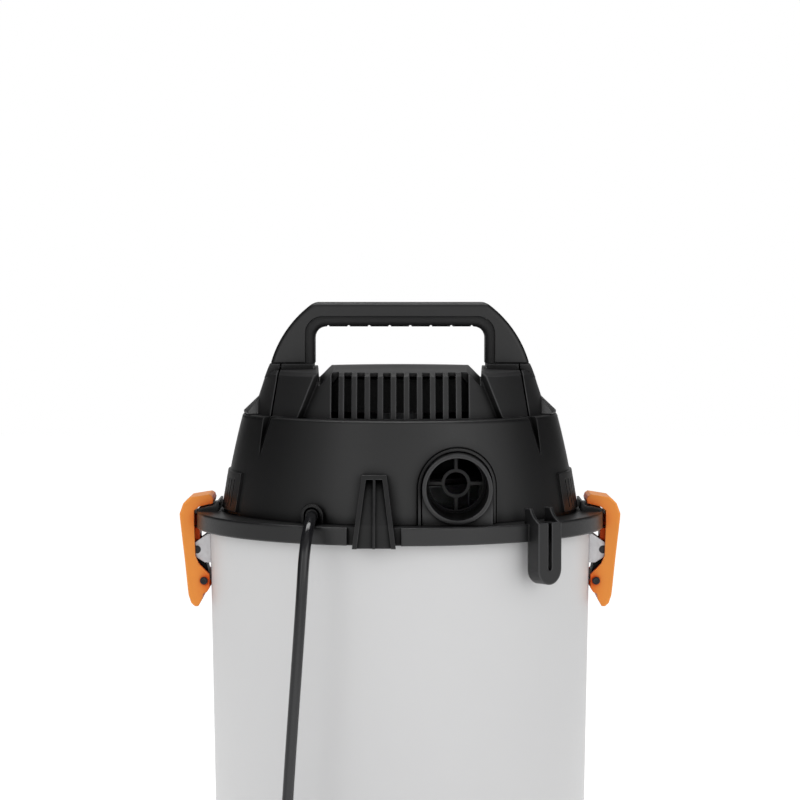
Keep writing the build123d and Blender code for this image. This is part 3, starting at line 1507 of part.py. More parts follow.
with BuildPart() as power_cord:
    with BuildLine() as cord_path:
        FilletPolyline(*cord_points, radius=cord_radii)
    with BuildSketch(Plane(origin=cord_path.line @ 0, z_dir=cord_path.line % 0)):
        Circle(cord_radius)
    sweep()
write(power_cord.part, "power_cord")

with BuildPart() as cord_coil:
    with BuildLine() as coil_path:
        Line(coil_start, coil_knots[0])
        for step in range(len(coil_knots) - 1):
            joint, joint_tangent = biarc(
                coil_knots[step], coil_tangents[step], coil_knots[step + 1], coil_tangents[step + 1]
            )
            TangentArc(coil_knots[step], joint, tangent=coil_tangents[step])
            TangentArc(joint, coil_knots[step + 1], tangent=joint_tangent)
        Line(coil_knots[-1], coil_end)
    with BuildSketch(Plane(origin=coil_start, z_dir=(0, -1, 0))):
        Circle(cord_radius)
    sweep()
write(cord_coil.part, "cord_coil")

# strap round the coil's bundle
tie_azimuth = 90.0
tie_width = 12.0
tie_strap = 1.2
tie_inner_low = coil_low_z - cord_radius - 0.5
tie_inner_high = coil_high_z + cord_radius + 0.5
tie_reach_in = coil_inner - coil_pitch / 4 - cord_radius - 0.6
tie_reach_out = coil_outer + coil_pitch / 4 + cord_radius + 0.6

with BuildPart() as cord_tie:
    tie_plane = radial_plane(tie_azimuth)
    tie_plane.origin = coil_centre - tie_plane.z_dir * (tie_width / 2)
    tie_middle = ((tie_reach_in + tie_reach_out) / 2, (tie_inner_low + tie_inner_high) / 2)
    with BuildSketch(tie_plane):
        with Locations(tie_middle):
            RectangleRounded(
                tie_reach_out - tie_reach_in + 2 * tie_strap, tie_inner_high - tie_inner_low + 2 * tie_strap, 3
            )
            RectangleRounded(
                tie_reach_out - tie_reach_in, tie_inner_high - tie_inner_low, 1.8, mode=Mode.SUBTRACT
            )
    extrude(amount=tie_width)
write(cord_tie.part, "cord_tie")

# two-pin plug lying beside the coil, with its pins towards +X
plug_z = 9.0
sleeve_length = 22.0
plug_length = 36.0
plug_pin_radius = 2.4
plug_pin_spacing = 15.0
plug_base = coil_end + Vector(sleeve_length, 0, plug_z - coil_end.Z)

with BuildPart() as plug_body:
    with BuildSketch(Plane(origin=plug_base, x_dir=(0, 1, 0), z_dir=(1, 0, 0))):
        RectangleRounded(26, 17, 6)
    extrude(amount=plug_length)
    chamfer(plug_body.faces().sort_by(Axis.X)[-1].edges(), 1.5)
    chamfer(plug_body.faces().sort_by(Axis.X)[0].edges(), 1.5)
    with BuildSketch(Plane(origin=coil_end, x_dir=(0, 1, 0), z_dir=(1, 0, 0))):
        Circle(cord_radius + 0.6)
    with BuildSketch(Plane(origin=plug_base + Vector(1, 0, 0), x_dir=(0, 1, 0), z_dir=(1, 0, 0))):
        Circle(6.6)
    loft()
write(plug_body.part, "plug_body")

with BuildPart() as plug_pins:
    for side in (-1, 1):
        foot = plug_base + Vector(plug_length, side * plug_pin_spacing / 2, 0)
        with BuildSketch(Plane(origin=foot, x_dir=(0, 1, 0), z_dir=(1, 0, 0))):
            Circle(plug_pin_radius)
        extrude(amount=19)
    chamfer(plug_pins.faces().sort_by(Axis.X)[-2:].edges(), 0.8)
write(plug_pins.part, "plug_pins")

# What the lead came out as
coil_samples = [coil_path.wires()[0] @ (step / 4000) for step in range(4001)]
sample_step = coil_path.wires()[0].length / 4000
skip = round(2.5 * cord_diameter / sample_step)
cells = {}
for index, point in enumerate(coil_samples):
    cells.setdefault((int(point.X // 9), int(point.Y // 9), int(point.Z // 9)), []).append(index)
least = 1e9
for (i, j, k), members in cells.items():
    for di in (-1, 0, 1):
        for dj in (-1, 0, 1):
            for dk in (-1, 0, 1):
                for one in members:
                    for other in cells.get((i + di, j + dj, k + dk), ()):
                        if other - one > skip:
                            least = min(least, (coil_samples[one] - coil_samples[other]).length)
print("cord bend radii", [round(radius, 1) for radius in cord_radii])
print("least gap of the coil to itself", round(least - cord_diameter, 3))
tube_area = pi * cord_radius**2
for name, builder, path in (("power_cord", power_cord, cord_path), ("cord_coil", cord_coil, coil_path)):
    length = path.wires()[0].length
    print(name, "length", round(length, 1), "volume ratio", round(builder.part.volume / (tube_area * length), 5))
print("free and coiled length", round(cord_path.wires()[0].length + coil_path.wires()[0].length, 1))
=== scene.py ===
"""Studio scene of a wet and dry shop vacuum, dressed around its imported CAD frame.

Metres, in the frame of the CAD model: Z is up from the floor, -Y is the rear that the camera faces, and
+X is right.
"""

import functools
import logging
import math
from collections.abc import Callable
from dataclasses import dataclass, replace
from enum import Enum
from typing import Any, ClassVar

import bmesh
import bpy
from mathutils import Matrix, Vector


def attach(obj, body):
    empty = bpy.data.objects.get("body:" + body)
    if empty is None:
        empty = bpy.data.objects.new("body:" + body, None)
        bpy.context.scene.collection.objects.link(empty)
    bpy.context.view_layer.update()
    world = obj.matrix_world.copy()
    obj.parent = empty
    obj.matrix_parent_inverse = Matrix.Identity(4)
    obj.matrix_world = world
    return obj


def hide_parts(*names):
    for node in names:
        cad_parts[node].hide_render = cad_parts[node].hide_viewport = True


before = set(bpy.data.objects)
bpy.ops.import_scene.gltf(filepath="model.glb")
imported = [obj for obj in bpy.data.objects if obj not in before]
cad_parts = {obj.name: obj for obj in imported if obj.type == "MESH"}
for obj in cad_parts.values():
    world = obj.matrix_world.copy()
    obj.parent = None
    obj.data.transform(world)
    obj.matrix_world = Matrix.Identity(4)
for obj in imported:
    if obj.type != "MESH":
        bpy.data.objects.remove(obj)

log = logging.getLogger("shop_vacuum")

MM = 0.001
# Least share of a face's normal along an axis for the face to count as square to it.
SQUARE = 0.99
# Points closer than this, in metres, are one point.
WELD = 1e-6
Point = tuple[float, float, float]


def linear(colour: str) -> tuple[float, float, float, float]:
    """Turn an sRGB hex colour into linear light.

    Args:
        colour: six hex digits.

    Returns:
        Red, green, blue and alpha for a shader's colour socket.
    """
    channels = [int(colour[at : at + 2], 16) / 255 for at in (0, 2, 4)]
    lit = [c / 12.92 if c <= 0.04045 else ((c + 0.055) / 1.055) ** 2.4 for c in channels]
    return (lit[0], lit[1], lit[2], 1.0)


def add_node(
    tree: bpy.types.NodeTree,
    kind: str,
    settings: dict[str, Any] | None = None,
    inputs: dict[str | int, Any] | None = None,
) -> bpy.types.Node:
    """Add a shader node, set it up and link it.

    Args:
        tree: node tree that takes the node.
        kind: the node's type name.
        settings: attributes of the node itself.
        inputs: socket name or number to a value, or to a (node, output) pair to link from.

    Returns:
        The new node.
    """
    made = tree.nodes.new(kind)
    for name, value in (settings or {}).items():
        setattr(made, name, value)
    for socket, value in (inputs or {}).items():
        if isinstance(value, tuple) and value and isinstance(value[0], bpy.types.Node):
            tree.links.new(value[0].outputs[value[1]], made.inputs[socket])
        else:
            made.inputs[socket].default_value = value
    return made


def fresh_material(name: str) -> tuple[bpy.types.Material, bpy.types.NodeTree]:
    """Make an empty node material.

    Args:
        name: the material's name.

    Returns:
        The material and its cleared node tree.
    """
    material = bpy.data.materials.new(name)
    material.use_nodes = True
    material.node_tree.nodes.clear()
    return material, material.node_tree


class Grain(Enum):
    """How a surface's fine texture runs."""

    EVEN = (1.0, 1.0, 1.0)
    AROUND = (0.02, 0.02, 1.0)


@dataclass(frozen=True)
class Finish:
    """One real surface: its colour, how it takes light, and the texture and edges that the eye sees on it,
    with painted highlight on its edges and painted shade in its crevices.
    """

    name: str
    colour: str
    shade: str
    edge_wear_and_highlight: str
    roughness: float
    roughness_spread: float = 0.08
    metallic: float = 0.0
    ior: float = 1.5
    grain: Grain = Grain.EVEN
    grain_mm: float = 1.2
    grain_depth_mm: float = 0.03
    cloud_mm: float = 60.0
    edge_mm: float = 0.8
    crevice_shade: str = "000000"
    crevice_shade_mm: float = 0.0

    # The fine grain, the slow cloud, and the part of the grain's range that roughness follows.
    fine_noise: ClassVar[dict[str, float]] = {"Detail": 3.0, "Roughness": 0.6}
    cloud_noise: ClassVar[dict[str, float]] = {"Detail": 4.0, "Roughness": 0.55}
    grain_span: ClassVar[dict[str, float]] = {"From Min": 0.3, "From Max": 0.7}
    # How far the rounded normal leans from the flat one, from an open face to an edge that is lightened as
    # wear and painted highlight.
    edge_lean: ClassVar[dict[str, float]] = {"From Min": 0.985, "From Max": 0.86}
    edge_samples: ClassVar[int] = 6
    # The share of open sky, from an open face to a crevice where shade is painted, and the specular level at
    # each.
    crevice_shade_span: ClassVar[dict[str, float]] = {"From Min": 0.95, "From Max": 0.45}
    shelter_samples: ClassVar[int] = 8
    crevice_shade_gloss: ClassVar[dict[str, float]] = {"To Min": 0.5, "To Max": 0.08}

    def add_texture(self, tree: bpy.types.NodeTree) -> tuple[bpy.types.Node, bpy.types.Node]:
        """Add the surface's fine grain and its slow cloud, on object coordinates.

        Args:
            tree: the material's node tree.

        Returns:
            The grain and the cloud.
        """
        place = add_node(tree, "ShaderNodeTexCoord")
        stretch = add_node(
            tree,
            "ShaderNodeMapping",
            inputs={"Vector": (place, "Object"), "Scale": self.grain.value},
        )
        fine = add_node(
            tree,
            "ShaderNodeTexNoise",
            inputs={"Vector": (stretch, "Vector"), "Scale": 1 / (self.grain_mm * MM), **self.fine_noise},
        )
        cloud = add_node(
            tree,
            "ShaderNodeTexNoise",
            inputs={"Vector": (place, "Object"), "Scale": 1 / (self.cloud_mm * MM), **self.cloud_noise},
        )
        return fine, cloud

    def add_edges(
        self, tree: bpy.types.NodeTree, cloud: bpy.types.Node
    ) -> tuple[bpy.types.Node, bpy.types.Node]:
        """Round the edges, and find where they are lightened, as wear and painted highlight.

        Args:
            tree: the material's node tree.
            cloud: the slow cloud, which says how much each edge is lightened.

        Returns:
            The rounded normal, and the share of lightened edge colour.
        """
        rounded = add_node(
            tree,
            "ShaderNodeBevel",
            {"samples": self.edge_samples},
            {"Radius": self.edge_mm * MM},
        )
        facing = add_node(tree, "ShaderNodeNewGeometry")
        lean = add_node(
            tree,
            "ShaderNodeVectorMath",
            {"operation": "DOT_PRODUCT"},
            {0: (rounded, "Normal"), 1: (facing, "Normal")},
        )
        edge = add_node(tree, "ShaderNodeMapRange", inputs={"Value": (lean, "Value"), **self.edge_lean})
        wear_and_highlight = add_node(
            tree,
            "ShaderNodeMath",
            {"operation": "MULTIPLY"},
            {0: (edge, "Result"), 1: (cloud, "Fac")},
        )
        return rounded, wear_and_highlight

    def paint_crevice_shade(
        self, tree: bpy.types.NodeTree, shader: bpy.types.Node, body: bpy.types.Node
    ) -> None:
        """Paint shade into crevices: a darker colour and a lower specular level where the ambient occlusion
        finds little open sky.

        Args:
            tree: the material's node tree.
            shader: the surface's shader.
            body: the colour of its open places.
        """
        nook = add_node(
            tree,
            "ShaderNodeAmbientOcclusion",
            {"samples": self.shelter_samples},
            {"Distance": self.crevice_shade_mm * MM},
        )
        crevice_shade_mask = add_node(tree, "ShaderNodeMapRange", inputs={"Value": (nook, "AO"), **self.crevice_shade_span})
        shaded_body = add_node(
            tree,
            "ShaderNodeMix",
            {"data_type": "RGBA"},
            {"Factor": (crevice_shade_mask, "Result"), 6: (body, 2), 7: linear(self.crevice_shade)},
        )
        gloss = add_node(
            tree,
            "ShaderNodeMapRange",
            inputs={"Value": (crevice_shade_mask, "Result"), **self.crevice_shade_gloss},
        )
        tree.links.new(shaded_body.outputs[2], shader.inputs["Base Color"])
        tree.links.new(gloss.outputs["Result"], shader.inputs["Specular IOR Level"])

    def material(self) -> bpy.types.Material:
        """Build the finish as a node material.

        Returns:
            The material, with its pattern on object coordinates, its edges softly rounded and lightened as
            wear and painted highlight, and painted shade in its crevices where it has them.
        """
        material, tree = fresh_material(self.name)
        fine, cloud = self.add_texture(tree)
        rounded, wear_and_highlight = self.add_edges(tree, cloud)
        tint = add_node(
            tree,
            "ShaderNodeMix",
            {"data_type": "RGBA"},
            {"Factor": (cloud, "Fac"), 6: linear(self.shade), 7: linear(self.colour)},
        )
        # Edges are lightened towards the edge colour, as wear and painted highlight.
        body = add_node(
            tree,
            "ShaderNodeMix",
            {"data_type": "RGBA"},
            {"Factor": (wear_and_highlight, "Value"), 6: (tint, 2), 7: linear(self.edge_wear_and_highlight)},
        )
        sheen = add_node(
            tree,
            "ShaderNodeMapRange",
            inputs={
                "Value": (fine, "Fac"),
                "To Min": self.roughness - self.roughness_spread,
                "To Max": self.roughness + self.roughness_spread,
                **self.grain_span,
            },
        )
        bump = add_node(
            tree,
            "ShaderNodeBump",
            inputs={
                "Height": (fine, "Fac"),
                "Distance": self.grain_depth_mm * MM,
                "Strength": 1.0,
                "Normal": (rounded, "Normal"),
            },
        )
        shader = add_node(
            tree,
            "ShaderNodeBsdfPrincipled",
            inputs={
                "Base Color": (body, 2),
                "Metallic": self.metallic,
                "Roughness": (sheen, "Result"),
                "Normal": (bump, "Normal"),
            },
        )
        if not self.metallic:
            shader.inputs["IOR"].default_value = self.ior
        # Painted shade: crevices get a darker colour and a lower specular level.
        if self.crevice_shade_mm:
            self.paint_crevice_shade(tree, shader, body)
        add_node(tree, "ShaderNodeOutputMaterial", inputs={"Surface": (shader, "BSDF")})
        return material


# Steel sheet in pale grey baked enamel: smooth, with a faint orange peel and a soft, even sheen.
ENAMELLED_STEEL = Finish(
    "baked_grey_enamel_on_steel",
    colour="d2d2d2",
    shade="cdcdce",
    edge_wear_and_highlight="dededd",
    roughness=0.44,
    roughness_spread=0.04,
    ior=1.52,
    grain_mm=2.4,
    grain_depth_mm=0.012,
    cloud_mm=180.0,
    edge_mm=0.4,
)
# Injection-moulded black ABS with a spark-eroded texture: matte, greyer at its edges as wear and painted
# highlight, and with painted shade in its crevices.
# The texture is drawn at 0.9 mm, coarser than the real one, so that it shows.
MOULDED_BLACK = Finish(
    "moulded_black_abs",
    colour="0e0e0f",
    shade="0b0b0c",
    edge_wear_and_highlight="525253",
    roughness=0.42,
    roughness_spread=0.05,
    ior=1.53,
    grain_mm=0.9,
    grain_depth_mm=0.012,
    edge_mm=0.9,
    crevice_shade="040404",
    crevice_shade_mm=9.0,
)
# The same plastic from a smoother mould: the lid's rim, which mirrors the backdrop along its flat top.
# Its edges are lightened as wear and painted highlight, and shade is painted in its crevices.
SMOOTH_BLACK = Finish(
    "moulded_smooth_black_abs",
    colour="181819",
    shade="141415",
    edge_wear_and_highlight="5a5a5c",
    roughness=0.4,
    roughness_spread=0.05,
    ior=1.53,
    grain_mm=1.6,
    grain_depth_mm=0.006,
    edge_mm=1.8,
    crevice_shade="060606",
    crevice_shade_mm=7.0,
)
# The textured plastic of the cover, whose pods have softly rounded edges, lightened as wear and painted
# highlight.
SOFT_EDGED_BLACK = replace(
    MOULDED_BLACK,
    name="moulded_black_abs_soft_edges",
    colour="141415",
    shade="101011",
    edge_wear_and_highlight="606062",
    roughness=0.52,
    edge_mm=1.8,
)
# Black open-cell foam behind the vents: it swallows nearly all light.
ACOUSTIC_FOAM = Finish(
    "open_cell_black_foam",
    colour="1e1e1e",
    shade="171717",
    edge_wear_and_highlight="262626",
    roughness=0.95,
    roughness_spread=0.04,
    ior=1.2,
    grain_mm=2.2,
    grain_depth_mm=0.5,
    edge_mm=0.4,
)
# Thermoplastic rubber, moulded over the grip: deeper black and duller than the shell.
SOFT_GRIP = Finish(
    "moulded_soft_grip_rubber",
    colour="131314",
    shade="0f0f10",
    edge_wear_and_highlight="2c2c2d",
    roughness=0.62,
    roughness_spread=0.06,
    grain_mm=0.7,
    grain_depth_mm=0.03,
    edge_mm=1.0,
)
# Nylon, moulded in orange, with a satin skin: paler at its edges as wear and painted highlight, and with
# painted red-orange shade in its channels.
ORANGE_NYLON = Finish(
    "moulded_orange_nylon",
    colour="f09127",
    shade="e98920",
    edge_wear_and_highlight="f7b86c",
    roughness=0.42,
    roughness_spread=0.05,
    ior=1.53,
    grain_mm=1.1,
    grain_depth_mm=0.015,
    cloud_mm=30.0,
    edge_mm=0.9,
    crevice_shade="d9450a",
    crevice_shade_mm=14.0,
)
# Pressed sheet steel, zinc plated: light grey with cloudy spangles.
ZINC_STEEL = Finish(
    "zinc_plated_pressed_steel",
    colour="c8c7c8",
    shade="b2b1b3",
    edge_wear_and_highlight="e0e0e0",
    roughness=0.42,
    roughness_spread=0.1,
    metallic=1.0,
    grain_mm=2.0,
    grain_depth_mm=0.01,
    cloud_mm=12.0,
    edge_mm=0.4,
)
# Blackened steel of pins and shafts.
DARK_STEEL = Finish(
    "blackened_turned_steel",
    colour="3c3c3e",
    shade="2c2c2e",
    edge_wear_and_highlight="77777a",
    roughness=0.36,
    roughness_spread=0.08,
    metallic=1.0,
    grain_mm=0.8,
    grain_depth_mm=0.01,
    edge_mm=0.4,
)
# Nitrile rubber of seals and gaskets.
SEAL_RUBBER = Finish(
    "nitrile_seal_rubber",
    colour="1a1a1b",
    shade="141415",
    edge_wear_and_highlight="2b2b2c",
    roughness=0.72,
    roughness_spread=0.08,
    grain_mm=1.4,
)
# Grey polyurethane caster tread, scuffed.
WHEEL_RUBBER = Finish(
    "caster_tread_polyurethane",
    colour="474748",
    shade="39393a",
    edge_wear_and_highlight="6a6a6b",
    roughness=0.6,
    roughness_spread=0.1,
    grain_mm=2.2,
    grain_depth_mm=0.05,
    cloud_mm=18.0,
)
# Black PVC sheath, extruded: smooth, with a soft sheen.
PVC_SHEATH = Finish(
    "extruded_black_pvc",
    colour="1b1b1d",
    shade="161618",
    edge_wear_and_highlight="38383a",
    roughness=0.17,
    roughness_spread=0.04,
    ior=1.53,
    grain_mm=2.5,
    grain_depth_mm=0.02,
    edge_mm=0.5,
)
# Woven nylon of the strap round the coil, with a low nap.
WOVEN_NYLON = Finish(
    "woven_black_nylon",
    colour="18181a",
    shade="121214",
    edge_wear_and_highlight="2a2a2c",
    roughness=0.85,
    roughness_spread=0.06,
    grain_mm=0.8,
    grain_depth_mm=0.12,
    cloud_mm=8.0,
)
# Nickel-plated brass of the plug's pins.
PLATED_BRASS = Finish(
    "nickel_plated_brass",
    colour="d6cfb4",
    shade="c3b98f",
    edge_wear_and_highlight="e9e4d2",
    roughness=0.24,
    roughness_spread=0.06,
    metallic=1.0,
    grain_mm=1.5,
    grain_depth_mm=0.005,
    edge_mm=0.4,
)
# Red polycarbonate rocker, glossy.
RED_ROCKER = Finish(
    "gloss_red_polycarbonate",
    colour="a81c1a",
    shade="981715",
    edge_wear_and_highlight="c2443f",
    roughness=0.22,
    roughness_spread=0.04,
    ior=1.58,
    grain_mm=2.0,
    grain_depth_mm=0.005,
)
# Varnished laminations of the motor.
MOTOR_STEEL = Finish(
    "laminated_motor_steel",
    colour="77787a",
    shade="5d5e60",
    edge_wear_and_highlight="a0a1a3",
    roughness=0.45,
    roughness_spread=0.1,
    metallic=1.0,
    grain=Grain.AROUND,
    grain_mm=0.6,
    cloud_mm=20.0,
    edge_mm=0.4,
)
# Pressed carbon of the brushes.
CARBON = Finish(
    "pressed_carbon",
    colour="2a2a2b",
    shade="1f1f20",
    edge_wear_and_highlight="444446",
    roughness=0.55,
    roughness_spread=0.08,
    ior=1.6,
    grain_mm=0.8,
)
# Cast aluminium of the fan.
CAST_ALUMINIUM = Finish(
    "cast_aluminium",
    colour="c9cacc",
    shade="b3b4b6",
    edge_wear_and_highlight="e2e3e5",
    roughness=0.4,
    roughness_spread=0.1,
    metallic=1.0,
    grain_mm=2.4,
    grain_depth_mm=0.04,
    cloud_mm=20.0,
)
# Pleated filter paper.
FILTER_PAPER = Finish(
    "pleated_filter_paper",
    colour="e6e1d0",
    shade="d6cfb9",
    edge_wear_and_highlight="efece0",
    roughness=0.85,
    roughness_spread=0.06,
    grain_mm=1.6,
    grain_depth_mm=0.06,
    cloud_mm=12.0,
)
# Blown polyethylene of the float.
FLOAT_PLASTIC = Finish(
    "blown_white_polyethylene",
    colour="e4e4df",
    shade="d8d8d2",
    edge_wear_and_highlight="efefec",
    roughness=0.45,
    roughness_spread=0.06,
    ior=1.51,
    grain_mm=3.0,
)


@functools.cache
def material_of(finish: Finish) -> bpy.types.Material:
    """Give the one material that a finish makes.

    Args:
        finish: the surface wanted.

    Returns:
        Its material, built on first use.
    """
    return finish.material()


class Element(Enum):
    """What a selection is made of, by its name in Blender's select mode."""

    FACES = "FACE"
    EDGES = "EDGE"


def pick(piece: bpy.types.Object, kind: Element, test: Callable[[Any], bool]) -> None:
    """Select only the faces or edges of a piece that pass a test, in edit mode.

    Args:
        piece: the object in edit mode.
        kind: what is selected.
        test: says whether one face or edge is wanted.
    """
    bpy.ops.mesh.select_mode(type=kind.value)
    bpy.ops.mesh.select_all(action="DESELECT")
    form = bmesh.from_edit_mesh(piece.data)
    for element in form.faces if kind is Element.FACES else form.edges:
        if test(element):
            element.select_set(True)
    form.select_flush_mode()
    bmesh.update_edit_mesh(piece.data)


def begin(name: str) -> bpy.types.Object:
    """Take the primitive just added as a piece and go into edit mode.

    Args:
        name: the piece's name.

    Returns:
        The piece, with its place in its mesh.
    """
    piece = bpy.context.active_object
    piece.name = name
    piece.data.name = name
    bpy.ops.object.transform_apply(location=True, rotation=True, scale=True)
    bpy.ops.object.mode_set(mode="EDIT")
    return piece


def end_piece(piece: bpy.types.Object, smooth: float = 35.0) -> None:
    """Leave edit mode with normals outward and soft shading.

    Args:
        piece: the object in edit mode.
        smooth: edges that turn by less than this many degrees are shaded smooth.
    """
    bpy.ops.mesh.select_all(action="SELECT")
    bpy.ops.mesh.remove_doubles(threshold=WELD)
    bpy.ops.mesh.normals_make_consistent(inside=False)
    bpy.ops.object.mode_set(mode="OBJECT")
    piece.select_set(True)
    bpy.ops.object.shade_smooth_by_angle(angle=math.radians(smooth))


def copy_piece(piece: bpy.types.Object, name: str, turn: Matrix) -> bpy.types.Object:
    """Copy a modelled piece with a mesh of its own.

    Args:
        piece: the piece to copy.
        name: the copy's name.
        turn: rotation from the first piece's place to the copy's.

    Returns:
        The copy, at the origin, with its place in its mesh.
    """
    mesh = piece.data.copy()
    mesh.name = name
    mesh.transform(turn)
    made = bpy.data.objects.new(name, mesh)
    bpy.context.scene.collection.objects.link(made)
    return made


class SubAssembly:
    """A group of pieces that come off the bench together."""

    def dress(self, finish: Finish, *names: str) -> None:
        """Give CAD nodes their finish.

        Args:
            finish: the surface that the nodes have.
            names: the nodes.
        """
        for name in names:
            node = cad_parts[name]
            node.data.materials.clear()
            node.data.materials.append(material_of(finish))
            log.info("%s: %s", name, finish.name)

    def fit(self, piece: bpy.types.Object, body: str, slot: str, *finishes: Finish) -> None:
        """Fix a new piece to the body that carries it, and give it its finishes.

        Args:
            piece: the new piece.
            body: the body that it moves with.
            slot: the record's material slot; not used.
            finishes: one surface for each material slot of the piece.
        """
        piece.data.materials.clear()
        for finish in finishes:
            piece.data.materials.append(material_of(finish))
        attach(piece, body)
        log.info("%s: %s on %s", piece.name, finishes[0].name, body)


class Drum(SubAssembly):
    """The enamelled steel drum and the hose inlet on its front."""

    def build(self) -> None:
        """Dress the drum and the inlet."""
        self.dress(ENAMELLED_STEEL, "tank_drum", "tank_floor")
        self.dress(MOULDED_BLACK, "tank_inlet", "inlet_deflector")
        self.dress(SEAL_RUBBER, "inlet_gasket")
        self.dress(ZINC_STEEL, "inlet_screws")


@dataclass
class CasterBase(SubAssembly):
    """The ring under the drum and its four swivel casters, whose wheels have a tread round a ribbed hub."""

    azimuths: tuple[tuple[str, float], ...] = (
        ("front_right", 45.0),
        ("front_left", 135.0),
        ("rear_left", 225.0),
        ("rear_right", 315.0),
    )
    axle_circle: float = 165.0 * MM
    wheel_radius: float = 23.0 * MM
    wheel_width: float = 18.0 * MM
    wheel_sides: int = 72
    tread_edge: float = 3.0 * MM
    edge_steps: int = 4
    tread_side: float = 2.6 * MM
    rim_step: float = 0.7 * MM
    rim_depth: float = 2.4 * MM
    hub_radius: float = 7.0 * MM
    hub_rise: float = 2.0 * MM
    ribs: int = 6
    rib_share: float = 0.24
    pocket_draft: float = 0.5 * MM
    pocket_depth: float = 2.2 * MM

    @property
    def tread_inner(self) -> float:
        """Radius at which the tread ends and the hub's rim begins."""
        return self.wheel_radius - self.tread_edge - self.tread_side

    @property
    def web_outer(self) -> float:
        """Radius at which the hub's rim meets its web."""
        return self.tread_inner - self.rim_step

    def is_pocket(self, face: bmesh.types.BMFace) -> bool:
        """Tell whether a face of the wheel's web lies between two ribs.

        Args:
            face: a face of the wheel.

        Returns:
            True where a pocket is to be sunk.
        """
        centre = face.calc_center_median()
        across, up = centre.x - self.axle_circle, centre.z - self.wheel_radius
        sector = math.atan2(up, across) / (2 * math.pi) * self.ribs % 1.0
        on_web = self.hub_radius < math.hypot(across, up) < self.web_outer and abs(face.normal.y) > SQUARE
        return on_web and self.rib_share / 2 < sector < 1 - self.rib_share / 2

    def model_wheel(self) -> bpy.types.Object:
        """Model a wheel that trails along +X, with its axle along Y.

        Returns:
            The wheel, with the tread as its first material and the hub as its second.
        """
        bpy.ops.object.select_all(action="DESELECT")
        bpy.ops.mesh.primitive_cylinder_add(
            vertices=self.wheel_sides,
            radius=self.wheel_radius,
            depth=self.wheel_width,
            location=(self.axle_circle, 0, self.wheel_radius),
            rotation=(math.pi / 2, 0, 0),
        )
        wheel = begin("caster_wheel_pattern")
        pick(wheel, Element.EDGES, lambda edge: any(abs(face.normal.y) > SQUARE for face in edge.link_faces))
        bpy.ops.mesh.bevel(offset=self.tread_edge, segments=self.edge_steps, affect="EDGES")
        pick(wheel, Element.FACES, lambda face: len(face.verts) == self.wheel_sides)
        bpy.ops.mesh.inset(thickness=self.tread_side)
        bpy.ops.mesh.inset(thickness=self.rim_step, depth=-self.rim_depth)
        bpy.ops.mesh.inset(thickness=self.web_outer - self.hub_radius)
        bpy.ops.mesh.inset(thickness=self.rim_step, depth=self.hub_rise)
        pick(wheel, Element.FACES, self.is_pocket)
        bpy.ops.mesh.inset(thickness=self.pocket_draft, depth=-self.pocket_depth)
        end_piece(wheel)
        wheel.data.materials.append(None)
        wheel.data.materials.append(None)
        for face in wheel.data.polygons:
            reach = math.hypot(face.center.x - self.axle_circle, face.center.z - self.wheel_radius)
            face.material_index = int(reach < self.tread_inner)
        return wheel

    def build(self) -> None:
        """Dress the base, the forks and axles, and fit a wheel to each fork."""
        self.dress(MOULDED_BLACK, "base_tray")
        pattern = self.model_wheel()
        for place, azimuth in self.azimuths:
            self.dress(MOULDED_BLACK, f"caster_fork_{place}")
            self.dress(ZINC_STEEL, f"caster_axle_{place}")
            self.dress(WHEEL_RUBBER, f"caster_wheel_{place}")
            turn = Matrix.Rotation(math.radians(azimuth), 4, "Z")
            wheel = copy_piece(pattern, f"treaded_wheel_{place}", turn)
            self.fit(wheel, f"caster_wheel_{place}", "wheel_rubber", WHEEL_RUBBER, MOULDED_BLACK)
            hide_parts(f"caster_wheel_{place}")
        bpy.data.objects.remove(pattern)


